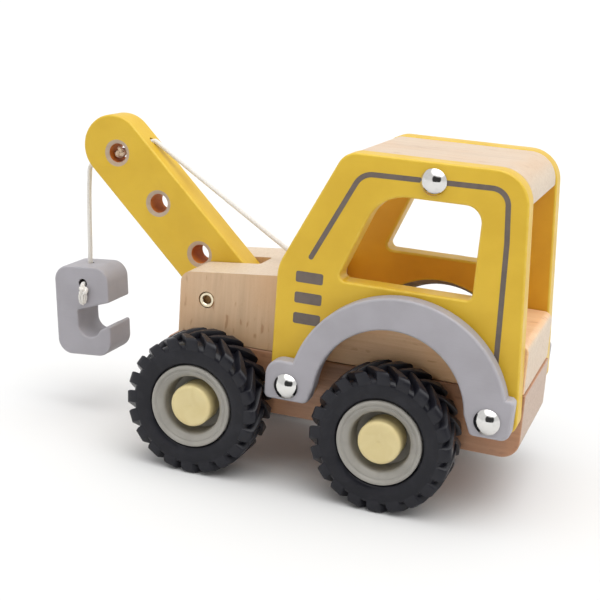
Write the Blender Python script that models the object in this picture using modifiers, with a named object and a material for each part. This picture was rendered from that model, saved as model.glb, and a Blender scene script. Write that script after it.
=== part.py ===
"""Wooden toy crane truck: a beech chassis with a cab of two painted sides and a roof, a painted boom that
tilts in a slot of the bonnet block, a cord with a painted C-shaped hook, and four rubber-tyred wheels.

Metres. The truck drives towards -X, +Z is up, and y = 0 is its middle plane.
Heights are measured from the ground, and lengths along X from the front axle.
"""
import math

import bmesh
import bpy
from mathutils import Matrix, Vector

COLLECTION = "wooden_crane_truck"

# ---- overall layout
FRONT_AXLE_X = -0.01982  # puts the origin under the middle of the whole truck, hook included
WHEELBASE = 0.075
AXLE_HEIGHT = 0.027
BLOCK_HALF_WIDTH = 0.0269  # chassis, bonnet, floor and roof blocks share one width
GAP = 0.0003  # between glued or touching faces

# ---- chassis plank
CHASSIS_FRONT = -0.0207
CHASSIS_REAR = 0.1225
CHASSIS_BOTTOM = 0.0225
CHASSIS_TOP = 0.0473
AXLE_RADIUS = 0.0020
AXLE_HOLE_RADIUS = 0.0022

# ---- bonnet block, with the boom's slot
BONNET_FRONT = -0.0158
BONNET_REAR = 0.0355
BONNET_TOP_AT_AXLE = 0.0752
BONNET_SLOPE = 0.10
SLOT_HALF_WIDTH = 0.0068
SLOT_REAR = 0.0093
SLOT_CORNER = 0.0015
ANCHOR_X = 0.0242
ANCHOR_DEPTH = 0.0120
ANCHOR_RADIUS = 0.0016

# ---- cab: floor, roof and side panels
FLOOR_TOP = 0.0662
FLOOR_REAR = 0.1218
ROOF_BOTTOM = 0.1160
ROOF_TOP = 0.1288
PANEL_THICKNESS = 0.0092
PANEL_INNER = BLOCK_HALF_WIDTH + GAP
PANEL_OUTER = PANEL_INNER + PANEL_THICKNESS
PANEL_TOP = 0.1291
PANEL_BOTTOM = 0.0347
PANEL_FRONT = 0.0274
WINDOW_BOTTOM = 0.0818
WINDOW_TOP = 0.1153
ARCH_CENTRE = (0.0752, 0.0400)
ARCH_RADIUS = 0.0318

# ---- fenders
FENDER_THICKNESS = 0.0067
FENDER_INNER = PANEL_OUTER + GAP
FENDER_OUTER = FENDER_INNER + FENDER_THICKNESS
FENDER_ARC_OUT = (0.0782, 0.0391, 0.0413)  # centre x, centre z, radius
FENDER_ARC_IN = (0.0754, 0.0398, 0.0283)
FENDER_FRONT = 0.0278
FENDER_REAR = 0.1212
FENDER_FOOT_TOP = 0.0500

# ---- dome-headed bolts
DOME_RADIUS = 0.0048
DOME_HEIGHT = 0.0029
SHANK_RADIUS = 0.0015
SHANK_HOLE_RADIUS = 0.0018
SHANK_BITE = 0.0100  # how far a shank reaches into the block behind
FENDER_BOLTS = ((0.0366, 0.0406), (0.1124, 0.0411))
ROOF_BOLT = (0.0833, 0.1222)

# ---- boom and its pivot
PIVOT = (-0.0045, 0.0636)
BOOM_ANGLE = math.radians(136.4)  # from +X, with the stay cord taut
BOOM_HALF_WIDTH = 0.01305
BOOM_HALF_THICKNESS = 0.0063
BOOM_END = 0.0750  # from the pivot to the centre of the round tip
BOOM_HOLES = (0.0181, 0.0449, 0.0717)
BOOM_HOLE_RADIUS = 0.0038
PIN_RADIUS = 0.0031
PIN_SOCKET_RADIUS = 0.0017
PIN_SOCKET_DEPTH = 0.0025
PIN_HOLE_RADIUS = 0.00325
CORD_BORE_RADIUS = 0.0015
CORD_BORE_LEAN = math.radians(21.5)  # of the cord's bore, from square across the boom

# ---- cord and hook
CORD_RADIUS = 0.0010
KNOT_RADIUS = 0.0027
DROP_X = -0.0710
HOOK_CENTRE = (-0.0690, 0.0445)
HOOK_LEAN = math.radians(5.0)
HOOK_WIDTH = 0.0256
HOOK_HEIGHT = 0.0385
HOOK_HALF_THICKNESS = 0.00905
HOOK_HOLE = (0.0007, 0.0121)  # cross hole, from the hook's centre
HOOK_HOLE_RADIUS = 0.0019
HOOK_TOP_HOLE_X = -0.0003

# ---- wheels
WHEEL_INNER = 0.0295  # y of a tyre's inner side
WHEEL_OUTER = 0.0485
TYRE_RADIUS = 0.0270
RIM_RADIUS = 0.0161
CAP_RADIUS = 0.0082

# ---- hidden dowels
DOWEL_RADIUS = 0.0030
DOWEL_HOLE_RADIUS = 0.0033
DOWEL_DEPTH = 0.0090
DOWEL_XS = {"bonnet": (0.0165, 0.0290), "floor": (0.0580, 0.1080)}


# ------------------------------------------------------------------------------------- scene helpers

def clear_scene():
    for obj in list(bpy.data.objects):
        bpy.data.objects.remove(obj, do_unlink=True)


def new_collection(name):
    collection = bpy.data.collections.new(name)
    bpy.context.scene.collection.children.link(collection)
    return collection


def material(name, color, roughness, metallic=0.0):
    mat = bpy.data.materials.new(name)
    mat.use_nodes = True
    shader = mat.node_tree.nodes["Principled BSDF"]
    shader.inputs["Base Color"].default_value = (*color, 1.0)
    shader.inputs["Roughness"].default_value = roughness
    shader.inputs["Metallic"].default_value = metallic
    return mat


def empty(name, location, parent=None):
    obj = bpy.data.objects.new(name, None)
    PARTS.objects.link(obj)
    obj.location = location
    obj.parent = parent
    obj.empty_display_size = 0.01
    return obj


def finish(obj, mat, parent, smooth=True):
    """Names the look of a piece, hangs it on its parent and shades its round sides smooth."""
    obj.data.materials.clear()
    obj.data.materials.append(mat)
    obj.parent = parent
    if smooth:
        obj.data.shade_smooth()
        obj.data.set_sharp_from_angle(angle=math.radians(35))
    return obj


def mesh_from_curve(curve_obj):
    """Turns a curve object into a closed mesh object in the same place."""
    depsgraph = bpy.context.evaluated_depsgraph_get()
    mesh = bpy.data.meshes.new_from_object(curve_obj.evaluated_get(depsgraph))
    bm = bmesh.new()
    bm.from_mesh(mesh)
    bmesh.ops.remove_doubles(bm, verts=bm.verts, dist=1e-6)
    bmesh.ops.recalc_face_normals(bm, faces=bm.faces)
    bm.to_mesh(mesh)
    bm.free()
    name = curve_obj.name
    obj = bpy.data.objects.new(name + "_mesh", mesh)
    curve_obj.users_collection[0].objects.link(obj)
    obj.matrix_world = curve_obj.matrix_world
    bpy.data.objects.remove(curve_obj, do_unlink=True)
    obj.name = name
    mesh.name = name
    return obj


# ------------------------------------------------------------------------------------- outlines

def arc(cx, cz, radius, start, end, count):
    """Corners along an arc; angles in radians from +X."""
    angles = [start + (end - start) * i / count for i in range(count + 1)]
    return [(cx + radius * math.cos(a), cz + radius * math.sin(a), 0.0) for a in angles]


def rounded(corners):
    """Outline points from (x, z, fillet radius) corners, each fillet drawn as short chords."""
    points = []
    for i, (x, z, radius) in enumerate(corners):
        here = Vector((x, z))
        before = Vector(corners[i - 1][:2])
        after = Vector(corners[(i + 1) % len(corners)][:2])
        if radius <= 0:
            points.append(here)
            continue
        u = (before - here).normalized()
        v = (after - here).normalized()
        half = u.angle(v) / 2
        reach = radius / math.tan(half)
        centre = here + (u + v).normalized() * (radius / math.sin(half))
        first = here + u * reach - centre
        turn = first.angle_signed(here + v * reach - centre)
        steps = max(2, round(abs(turn) / math.radians(15)))
        for k in range(steps + 1):
            points.append(centre + Matrix.Rotation(-turn * k / steps, 2) @ first)
    return points


def circle(cx, cz, radius, count=20):
    return [
        Vector((cx + radius * math.cos(t), cz + radius * math.sin(t)))
        for t in (2 * math.pi * i / count for i in range(count))
    ]


def slab(name, outlines, half_thickness, y=0.0, collection=None):
    """A flat piece in the XZ plane, centred on y; the first outline is its edge and the others are holes."""
    curve = bpy.data.curves.new(name, "CURVE")
    curve.dimensions = "2D"
    curve.fill_mode = "BOTH"
    curve.extrude = half_thickness
    for outline in outlines:
        spline = curve.splines.new("POLY")
        spline.points.add(len(outline) - 1)
        for point, place in zip(spline.points, outline):
            point.co = (place[0], place[1], 0.0, 1.0)
        spline.use_cyclic_u = True
    obj = bpy.data.objects.new(name, curve)
    (collection or PARTS).objects.link(obj)
    obj.rotation_euler = (math.pi / 2, 0.0, 0.0)
    obj.location = (0.0, y, 0.0)
    bpy.context.view_layer.update()
    obj = mesh_from_curve(obj)
    apply_transform(obj)
    return obj


def apply_transform(obj):
    obj.data.transform(obj.matrix_world)
    obj.matrix_world = Matrix.Identity(4)


def turned(name, profile, segments, closed=False):
    """A round piece about Z from (radius, z) points that run down its outer side, top to bottom."""
    mesh = bpy.data.meshes.new(name)
    last = len(profile) if closed else len(profile) - 1
    edges = [(i, (i + 1) % len(profile)) for i in range(last)]
    mesh.from_pydata([(r, 0.0, z) for r, z in profile], edges, [])
    obj = bpy.data.objects.new(name, mesh)
    PARTS.objects.link(obj)
    screw = obj.modifiers.new("turn", "SCREW")
    screw.steps = segments
    screw.render_steps = segments
    screw.use_merge_vertices = True
    screw.merge_threshold = 1e-6
    return obj


def tube(name, points, radius=CORD_RADIUS):
    """A cord or rod along points, with closed ends."""
    curve = bpy.data.curves.new(name, "CURVE")
    curve.dimensions = "3D"
    curve.bevel_depth = radius
    curve.bevel_resolution = 2
    curve.use_fill_caps = True
    spline = curve.splines.new("POLY")
    spline.points.add(len(points) - 1)
    for point, place in zip(spline.points, points):
        point.co = (*place, 1.0)
    obj = bpy.data.objects.new(name, curve)
    PARTS.objects.link(obj)
    return mesh_from_curve(obj)


def smooth_route(through, spacing):
    """Points at an even spacing on a smooth curve through the given ones."""
    ends = [2 * through[0] - through[1]] + list(through) + [2 * through[-1] - through[-2]]
    dense = []
    for i in range(1, len(ends) - 2):
        p0, p1, p2, p3 = ends[i - 1:i + 3]
        for k in range(24):
            t = k / 24
            bend = 2 * p0 - 5 * p1 + 4 * p2 - p3
            twist = 3 * p1 - p0 - 3 * p2 + p3
            dense.append((2 * p1 + (p2 - p0) * t + bend * t ** 2 + twist * t ** 3) / 2)
    dense.append(through[-1])
    length = sum((b - a).length for a, b in zip(dense, dense[1:]))
    count = max(2, round(length / spacing))
    route = [dense[0]]
    walked = 0.0
    for a, b in zip(dense, dense[1:]):
        step = (b - a).length
        while len(route) < count and walked + step >= len(route) * length / count:
            share = (len(route) * length / count - walked) / step
            route.append(a.lerp(b, share))
        walked += step
    route.append(dense[-1])
    return route


# ------------------------------------------------------------------------------------- cutters

def rod_cutter(name, start, end, radius, parent, segments=20):
    """A cylinder between two points, used only to cut a hole."""
    bm = bmesh.new()
    axis = Vector(end) - Vector(start)
    bmesh.ops.create_cone(
        bm, cap_ends=True, segments=segments, radius1=radius, radius2=radius, depth=axis.length
    )
    mesh = bpy.data.meshes.new(name)
    bm.to_mesh(mesh)
    bm.free()
    obj = bpy.data.objects.new(name, mesh)
    turn = axis.to_track_quat("Z", "Y").to_matrix().to_4x4()
    mesh.transform(Matrix.Translation((Vector(start) + Vector(end)) / 2) @ turn)
    return as_cutter(obj, parent)


def as_cutter(obj, parent):
    for collection in obj.users_collection:
        collection.objects.unlink(obj)
    CUTTERS.objects.link(obj)
    obj.parent = parent
    obj.hide_render = True
    obj.display_type = "WIRE"
    return obj


def cut(obj, cutter):
    modifier = obj.modifiers.new("cut_" + cutter.name, "BOOLEAN")
    modifier.operation = "DIFFERENCE"
    modifier.solver = "EXACT"
    modifier.object = cutter


# ------------------------------------------------------------------------------------- body blocks

def bonnet_top(x):
    return BONNET_TOP_AT_AXLE + BONNET_SLOPE * x


def build_chassis():
    corners = [
        (CHASSIS_FRONT, CHASSIS_BOTTOM, 0.003),
        (CHASSIS_REAR, CHASSIS_BOTTOM, 0.007),
        (CHASSIS_REAR, CHASSIS_TOP, 0.001),
        (CHASSIS_FRONT, CHASSIS_TOP, 0.003),
    ]
    holes = [circle(x, AXLE_HEIGHT, AXLE_HOLE_RADIUS, 16) for x in (0.0, WHEELBASE)]
    chassis = slab("chassis_plank", [rounded(corners), *holes], BLOCK_HALF_WIDTH)
    return finish(chassis, BEECH, TRUCK)


def build_bonnet():
    edge = BONNET_FRONT, BONNET_REAR
    corners = [
        (edge[0], CHASSIS_TOP + GAP, 0.0008),
        (edge[1], CHASSIS_TOP + GAP, 0.0008),
        (edge[1], bonnet_top(edge[1]), 0.0008),
        (edge[0], bonnet_top(edge[0]), 0.0045),
    ]
    pin_hole = circle(*PIVOT, PIN_HOLE_RADIUS)
    bonnet = slab("bonnet_block", [rounded(corners), pin_hole], BLOCK_HALF_WIDTH)
    slot_corners = [
        (BONNET_FRONT - 0.010, -SLOT_HALF_WIDTH, 0.0),
        (SLOT_REAR, -SLOT_HALF_WIDTH, SLOT_CORNER),
        (SLOT_REAR, SLOT_HALF_WIDTH, SLOT_CORNER),
        (BONNET_FRONT - 0.010, SLOT_HALF_WIDTH, 0.0),
    ]
    slot = slab("slot_cutter", [rounded(slot_corners)], 0.030)
    slot.data.transform(Matrix.Translation((0, 0, 0.065)) @ Matrix.Rotation(-math.pi / 2, 4, "X"))
    cut(bonnet, as_cutter(slot, TRUCK))
    top = bonnet_top(ANCHOR_X)
    anchor = rod_cutter(
        "anchor_cutter", (ANCHOR_X, 0, top - ANCHOR_DEPTH), (ANCHOR_X, 0, top + 0.005), ANCHOR_RADIUS, TRUCK
    )
    cut(bonnet, anchor)
    return finish(bonnet, BEECH, TRUCK)


def build_floor():
    front = BONNET_REAR + GAP
    corners = [
        (front, CHASSIS_TOP + GAP, 0.0008),
        (FLOOR_REAR, CHASSIS_TOP + GAP, 0.0008),
        (FLOOR_REAR, FLOOR_TOP, 0.0030),
        (front, FLOOR_TOP, 0.0008),
    ]
    return finish(slab("floor_block", [rounded(corners)], BLOCK_HALF_WIDTH), BEECH, TRUCK)


def build_roof():
    corners = [
        (0.0452, ROOF_BOTTOM, 0.0015),
        (0.1166, ROOF_BOTTOM, 0.0010),
        (0.1160, ROOF_TOP, 0.0105),
        (0.0510, ROOF_TOP, 0.0050),
    ]
    return finish(slab("roof_block", [rounded(corners)], BLOCK_HALF_WIDTH), BEECH, TRUCK)


def add_dowels(chassis, blocks):
    """Two glued dowels hold each upper block on the chassis."""
    seam = CHASSIS_TOP + GAP / 2
    for place, block in blocks.items():
        for number, x in enumerate(DOWEL_XS[place], 1):
            low, high = seam - DOWEL_DEPTH, seam + DOWEL_DEPTH
            cutter = rod_cutter(
                f"{place}_dowel_cutter_{number}", (x, 0, low - GAP), (x, 0, high + GAP),
                DOWEL_HOLE_RADIUS, TRUCK, 12,
            )
            cut(chassis, cutter)
            cut(block, cutter)
            profile = [(0, high), (DOWEL_RADIUS, high), (DOWEL_RADIUS, low), (0, low)]
            dowel = turned(f"{place}_dowel_{number}", profile, 12)
            dowel.location = (x, 0, 0)
            finish(dowel, BEECH, TRUCK)


# ------------------------------------------------------------------------------------- cab sides

def panel_outline():
    slope_x = 0.0294, 0.0500  # where the windscreen edge starts and meets the roof line
    arch = arc(*ARCH_CENTRE, ARCH_RADIUS, math.pi, 0.0, 18)
    foot = ARCH_CENTRE[0] - ARCH_RADIUS, ARCH_CENTRE[0] + ARCH_RADIUS
    return rounded([
        (PANEL_FRONT, PANEL_BOTTOM, 0.0020),
        (PANEL_FRONT, 0.0840, 0.0150),
        (slope_x[1], PANEL_TOP, 0.0080),
        (0.1165, PANEL_TOP, 0.0125),
        (0.1223, PANEL_BOTTOM, 0.0050),
        (foot[1], PANEL_BOTTOM, 0.0010),
        *reversed(arch),
        (foot[0], PANEL_BOTTOM, 0.0010),
    ])


def window_outline():
    return rounded([
        (0.0506, WINDOW_BOTTOM, 0.0022),
        (0.0643, WINDOW_TOP, 0.0150),
        (0.1014, WINDOW_TOP, 0.0060),
        (0.1008, WINDOW_BOTTOM, 0.0020),
    ])


def fender_outline():
    cx, cz, radius = FENDER_ARC_OUT
    rise = math.asin((FENDER_FOOT_TOP - cz) / radius)
    outer = arc(cx, cz, radius, math.pi - rise, rise, 20)
    ix, iz, inner_radius = FENDER_ARC_IN
    drop = math.asin((0.0420 - iz) / inner_radius)
    inner = arc(ix, iz, inner_radius, drop, math.pi - drop, 18)
    return rounded([
        (FENDER_FRONT, PANEL_BOTTOM, 0.0020),
        (FENDER_FRONT, FENDER_FOOT_TOP, 0.0060),
        *outer,
        (FENDER_REAR, FENDER_FOOT_TOP, 0.0020),
        (FENDER_REAR - 0.0004, PANEL_BOTTOM, 0.0035),
        (0.1066, PANEL_BOTTOM, 0.0020),
        *inner,
        (0.0448, PANEL_BOTTOM, 0.0025),
    ])


def add_bolt(name, x, z, side, seat, block):
    """A chrome dome on a shank that runs through what it holds and bites into the block."""
    tip = seat - BLOCK_HALF_WIDTH + SHANK_BITE
    base = GAP
    ball = (DOME_RADIUS ** 2 + DOME_HEIGHT ** 2) / (2 * DOME_HEIGHT)
    spread = math.asin(DOME_RADIUS / ball)
    dome = [
        (ball * math.sin(spread * i / 4), base + DOME_HEIGHT - ball * (1 - math.cos(spread * i / 4)))
        for i in range(5)
    ]
    profile = [*dome, (SHANK_RADIUS, base), (SHANK_RADIUS, -tip), (0.0, -tip)]
    bolt = turned(name, profile, 16)
    bolt.rotation_euler = (-side * math.pi / 2, 0, 0)
    bolt.location = (x, side * seat, z)
    finish(bolt, CHROME, TRUCK)
    cutter = rod_cutter(
        name + "_cutter", (x, side * (seat + 0.002), z), (x, side * (seat - tip - GAP), z),
        SHANK_HOLE_RADIUS, TRUCK, 12,
    )
    cut(block, cutter)


def build_side(word, side, chassis, roof):
    panel_holes = [circle(*ROOF_BOLT, SHANK_HOLE_RADIUS, 12)]
    panel_holes += [circle(*bolt, SHANK_HOLE_RADIUS, 12) for bolt in FENDER_BOLTS]
    panel_middle = side * (PANEL_INNER + PANEL_OUTER) / 2
    outlines = [panel_outline(), window_outline(), *panel_holes]
    panel = slab(f"side_panel_{word}", outlines, PANEL_THICKNESS / 2, panel_middle)
    finish(panel, YELLOW, TRUCK)
    fender_holes = [circle(*bolt, SHANK_HOLE_RADIUS, 12) for bolt in FENDER_BOLTS]
    fender_middle = side * (FENDER_INNER + FENDER_OUTER) / 2
    fender = slab(
        f"fender_{word}", [fender_outline(), *fender_holes], FENDER_THICKNESS / 2, fender_middle
    )
    finish(fender, GREY, TRUCK)
    for end, (x, z) in zip(("front", "rear"), FENDER_BOLTS):
        add_bolt(f"fender_bolt_{word}_{end}", x, z, side, FENDER_OUTER, chassis)
    add_bolt(f"roof_bolt_{word}", *ROOF_BOLT, side, PANEL_OUTER, roof)


# ------------------------------------------------------------------------------------- boom

def along_boom(u, n=0.0):
    """A point in the truck's XZ plane, u along the boom from its pivot and n square to it, upwards."""
    c, s = math.cos(BOOM_ANGLE), math.sin(BOOM_ANGLE)
    return PIVOT[0] + u * c + n * s, PIVOT[1] + u * s - n * c


def cord_bore(n):
    """A point on the axis of the cord's bore, at height n across the boom; it crosses the top hole."""
    return along_boom(BOOM_HOLES[-1] - n * math.tan(CORD_BORE_LEAN), n)


def on_middle_plane(point):
    return Vector((point[0], 0.0, point[1]))


def build_boom():
    half = BOOM_HALF_WIDTH
    tip = [(BOOM_END + x, z) for x, z, _ in arc(0, 0, half, -math.pi / 2, math.pi / 2, 16)]
    heel = [(x, z) for x, z, _ in arc(0, 0, half, math.pi / 2, 3 * math.pi / 2, 16)]
    edge = [Vector(along_boom(u, n)) for u, n in tip + heel]
    holes = [circle(*along_boom(u), BOOM_HOLE_RADIUS) for u in BOOM_HOLES]
    holes.append(circle(*PIVOT, PIN_HOLE_RADIUS))
    boom = slab("boom", [edge, *holes], BOOM_HALF_THICKNESS)
    bore = rod_cutter(
        "cord_bore_cutter", on_middle_plane(cord_bore(-0.020)), on_middle_plane(cord_bore(0.020)),
        CORD_BORE_RADIUS, TRUCK, 12,
    )
    cut(boom, bore)
    about_pivot(boom)
    return finish(boom, YELLOW, BOOM_PIVOT)


def about_pivot(obj, pivot=PIVOT):
    """Moves a piece's mesh so that its origin is the point that it turns about."""
    obj.data.transform(Matrix.Translation((-pivot[0], 0.0, -pivot[1])))


def build_pivot_pin():
    """A plain pin with a socket in each end."""
    reach = BLOCK_HALF_WIDTH - 0.0002
    bottom = reach - PIN_SOCKET_DEPTH
    profile = [
        (0, bottom), (PIN_SOCKET_RADIUS, bottom), (PIN_SOCKET_RADIUS, reach), (PIN_RADIUS, reach),
        (PIN_RADIUS, -reach), (PIN_SOCKET_RADIUS, -reach), (PIN_SOCKET_RADIUS, -bottom), (0, -bottom),
    ]
    pin = turned("boom_pivot_pin", profile, 20)
    pin.rotation_euler = (math.pi / 2, 0, 0)
    pin.location = (PIVOT[0], 0, PIVOT[1])
    return finish(pin, STEEL, TRUCK)


# ------------------------------------------------------------------------------------- cord and hook

def hook_point(x, z):
    """A point in the truck's XZ plane from one in the hook's own frame, whose foot leans to the rear."""
    c, s = math.cos(HOOK_LEAN), math.sin(HOOK_LEAN)
    return HOOK_CENTRE[0] + c * x - s * z, HOOK_CENTRE[1] + s * x + c * z


def build_hook():
    w, h = HOOK_WIDTH / 2, HOOK_HEIGHT / 2
    throat_x, throat_z, throat_r = 0.0028, -0.0060, 0.0052
    corners = [
        (-w, -h, 0.0065),
        (w, -h, 0.0065),
        (w, -0.0052, 0.0010),
        (throat_x + throat_r, -0.0078, 0.0),
        *arc(throat_x, throat_z, throat_r, math.radians(-20), -math.pi, 8),
        (throat_x - throat_r, 0.0004, 0.0008),
        (w, 0.0044, 0.0010),
        (w, h, 0.0065),
        (-w, h, 0.0065),
    ]
    outline = [Vector(hook_point(*point)) for point in rounded(corners)]
    hook = slab("hook", [outline, circle(*hook_point(*HOOK_HOLE), HOOK_HOLE_RADIUS)], HOOK_HALF_THICKNESS)
    top = on_middle_plane(hook_point(HOOK_TOP_HOLE_X, h + 0.005))
    down = on_middle_plane(hook_point(*HOOK_HOLE))
    cut(hook, rod_cutter("hook_top_cutter", top, down, CORD_BORE_RADIUS, TRUCK, 12))
    about_pivot(hook, HOOK_TOP)
    return finish(hook, GREY, HOOK_TWIST)


def cord_piece(name, through, parent, pivot=None, spacing=0.0022):
    piece = tube(name, smooth_route([Vector(p) for p in through], spacing))
    if pivot:
        about_pivot(piece, pivot)
    return finish(piece, CORD, parent)


def knot(name, centre, radius, stretch, parent, pivot):
    """A pulled-tight overhand knot, as a plain closed lump."""
    bm = bmesh.new()
    bmesh.ops.create_uvsphere(bm, u_segments=12, v_segments=8, radius=radius)
    bmesh.ops.scale(bm, vec=stretch, verts=bm.verts)
    bmesh.ops.translate(bm, vec=centre, verts=bm.verts)
    mesh = bpy.data.meshes.new(name)
    bm.to_mesh(mesh)
    bm.free()
    obj = bpy.data.objects.new(name, mesh)
    PARTS.objects.link(obj)
    about_pivot(obj, pivot)
    return finish(obj, CORD, parent)


def build_cord():
    """The one cord, cut where its stretches move apart: stay, boom, drop and hook."""
    mouth = on_middle_plane(cord_bore(BOOM_HALF_WIDTH + CORD_RADIUS))
    anchor = Vector((ANCHOR_X, 0, bonnet_top(ANCHOR_X)))
    pull = (mouth - anchor).normalized()
    stay = [
        anchor - Vector((0, 0, ANCHOR_DEPTH - 0.001)),
        anchor - Vector((0, 0, 0.004)),
        anchor + Vector((0, 0, 0.0006)),
        anchor + Vector((0, 0, 0.0006)) + pull * 0.004,
        anchor.lerp(mouth, 0.5),
        mouth,
    ]
    cord_piece("stay_cord", stay, TRUCK, spacing=0.0025)

    middle = on_middle_plane(cord_bore(0.0))
    knot("boom_knot", middle, KNOT_RADIUS, (1.0, 0.9, 1.0), BOOM_PIVOT, PIVOT)
    clear = KNOT_RADIUS + 0.0004
    upper = [on_middle_plane(cord_bore(n)) for n in (BOOM_HALF_WIDTH, 0.0085, clear)]
    cord_piece("boom_cord_upper", upper, BOOM_PIVOT, PIVOT)
    out = on_middle_plane(cord_bore(-BOOM_HALF_WIDTH))
    hang = Vector((DROP_X, 0, HANG[1]))
    lower = [
        on_middle_plane(cord_bore(-clear)), on_middle_plane(cord_bore(-0.0085)), out,
        hang + Vector((0.0006, 0, 0.0022)), hang + Vector((0, 0, GAP)),
    ]
    cord_piece("boom_cord_lower", lower, BOOM_PIVOT, PIVOT, spacing=0.0015)

    split = hang - Vector((0, 0, 0.005))
    cord_piece("drop_cord_upper", [hang, hang.lerp(split, 0.5), split], CORD_SWING, HANG)
    foot = Vector((DROP_X, 0, HOOK_TOP[1] + 2 * GAP))
    cord_piece(
        "drop_cord_lower", [split - Vector((0, 0, GAP)), split.lerp(foot, 0.5), foot], CORD_SWAY, SWAY
    )

    hole = on_middle_plane(hook_point(*HOOK_HOLE))
    face = -HOOK_HALF_THICKNESS
    top = on_middle_plane(HOOK_TOP)
    inside = [
        top, top.lerp(hole, 0.25), top.lerp(hole, 0.50), top.lerp(hole, 0.75),
        hole + Vector((0, -0.0006, 0.0005)),
        hole + Vector((0, -0.0025, 0)),
        Vector((hole.x, face / 2, hole.z)),
        Vector((hole.x, face - 0.0004, hole.z)),
    ]
    cord_piece("hook_cord", inside, HOOK_TWIST, HOOK_TOP, spacing=0.0015)
    lump = Vector((hole.x, face - 0.0027, hole.z - 0.0030))
    knot("hook_knot", lump, 0.0023, (0.95, 0.9, 1.2), HOOK_TWIST, HOOK_TOP)
    tail = [lump - Vector((0, -0.0004, 0.0031)), lump - Vector((0, -0.0008, 0.0075))]
    cord_piece("hook_tail", [tail[0], tail[0].lerp(tail[1], 0.5), tail[1]], HOOK_TWIST, HOOK_TOP)


# ------------------------------------------------------------------------------------- wheels

def build_axle(word, x):
    reach = WHEEL_OUTER - 0.0035
    axle = turned(f"axle_{word}", [(0, reach), (AXLE_RADIUS, reach), (AXLE_RADIUS, -reach), (0, -reach)], 16)
    axle.rotation_euler = (math.pi / 2, 0, 0)
    axle.location = (x, 0, AXLE_HEIGHT)
    finish(axle, STEEL, TRUCK)


def build_wheel(word, x, side):
    """A plastic rim and rubber tyre that spin on the axle, kept on by a cap pressed on the axle's end."""
    wheel = empty(f"wheel_{word}_axis", (x, 0, AXLE_HEIGHT), TRUCK)
    w_in, w_out = WHEEL_INNER, WHEEL_OUTER
    lip = w_out - 0.0002
    rim_profile = [
        (0.0143, lip), (RIM_RADIUS, lip), (RIM_RADIUS, w_in + 0.0012), (0.0130, w_in + 0.0012),
        (0.0130, 0.0350), (0.0055, 0.0350), (0.0055, 0.0278), (AXLE_HOLE_RADIUS, 0.0278),
        (AXLE_HOLE_RADIUS, 0.0385), (0.0110, 0.0385), (0.0116, 0.0460),
    ]
    tyre_profile = [
        (0.0164, w_out - 0.0014), (0.0180, w_out - 0.0004), (0.0210, w_out), (0.0245, w_out - 0.0008),
        (0.0263, w_out - 0.0026), (TYRE_RADIUS, w_out - 0.0055), (TYRE_RADIUS, w_in + 0.0055),
        (0.0263, w_in + 0.0026), (0.0245, w_in + 0.0008), (0.0210, w_in), (0.0180, w_in + 0.0004),
        (0.0164, w_in + 0.0014),
    ]
    for kind, profile, mat in (("rim", rim_profile, RIM), ("tyre", tyre_profile, RUBBER)):
        piece = turned(f"{kind}_{word}", profile, 32, closed=True)
        piece.rotation_euler = (-side * math.pi / 2, 0, 0)
        finish(piece, mat, wheel)
    face = w_out - 0.0008
    end = w_out - 0.0035 + GAP
    foot = 0.0385 + GAP
    bore = AXLE_RADIUS + 0.0001
    cap_profile = [
        (0, face), (CAP_RADIUS - 0.0008, face), (CAP_RADIUS, face - 0.0008), (CAP_RADIUS, foot),
        (bore, foot), (bore, end), (0, end),
    ]
    cap = turned(f"hub_cap_{word}", cap_profile, 28)
    cap.rotation_euler = (-side * math.pi / 2, 0, 0)
    cap.location = (x, 0, AXLE_HEIGHT)
    finish(cap, CREAM, TRUCK)


# ------------------------------------------------------------------------------------- assembly

clear_scene()
PARTS = new_collection(COLLECTION)
CUTTERS = new_collection(COLLECTION + "_cutters")

BEECH = material("beech", (0.72, 0.50, 0.32), 0.55)
YELLOW = material("yellow_paint", (0.72, 0.45, 0.03), 0.45)
GREY = material("grey_paint", (0.39, 0.38, 0.42), 0.50)
CHROME = material("chrome", (0.80, 0.80, 0.80), 0.08, 1.0)
STEEL = material("steel", (0.60, 0.58, 0.52), 0.30, 1.0)
CORD = material("cotton_cord", (0.80, 0.78, 0.72), 0.90)
RIM = material("grey_plastic", (0.37, 0.36, 0.34), 0.45)
RUBBER = material("black_rubber", (0.022, 0.022, 0.028), 0.70)
CREAM = material("cream_plastic", (0.74, 0.63, 0.33), 0.45)

HOOK_TOP = hook_point(HOOK_TOP_HOLE_X, HOOK_HEIGHT / 2)
HANG = (DROP_X, along_boom(0, 0)[1] + 0.0395)
SWAY = (DROP_X, HANG[1] - 0.005)

TRUCK = empty("truck_frame", (FRONT_AXLE_X, 0, 0))
BOOM_PIVOT = empty("boom_pivot_axis", (PIVOT[0], 0, PIVOT[1]), TRUCK)
CORD_SWING = empty("cord_swing_axis", (HANG[0] - PIVOT[0], 0, HANG[1] - PIVOT[1]), BOOM_PIVOT)
CORD_SWAY = empty("cord_sway_axis", (SWAY[0] - HANG[0], 0, SWAY[1] - HANG[1]), CORD_SWING)
HOOK_TWIST = empty("hook_twist_axis", (HOOK_TOP[0] - SWAY[0], 0, HOOK_TOP[1] - SWAY[1]), CORD_SWAY)

chassis_plank = build_chassis()
bonnet_block = build_bonnet()
floor_block = build_floor()
roof_block = build_roof()
add_dowels(chassis_plank, {"bonnet": bonnet_block, "floor": floor_block})
for side_word, side_sign in (("left", -1), ("right", 1)):
    build_side(side_word, side_sign, chassis_plank, roof_block)
build_boom()
build_pivot_pin()
build_hook()
build_cord()
for axle_word, axle_x in (("front", 0.0), ("rear", WHEELBASE)):
    build_axle(axle_word, axle_x)
    for side_word, side_sign in (("left", -1), ("right", 1)):
        build_wheel(f"{axle_word}_{side_word}", axle_x, side_sign)
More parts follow.
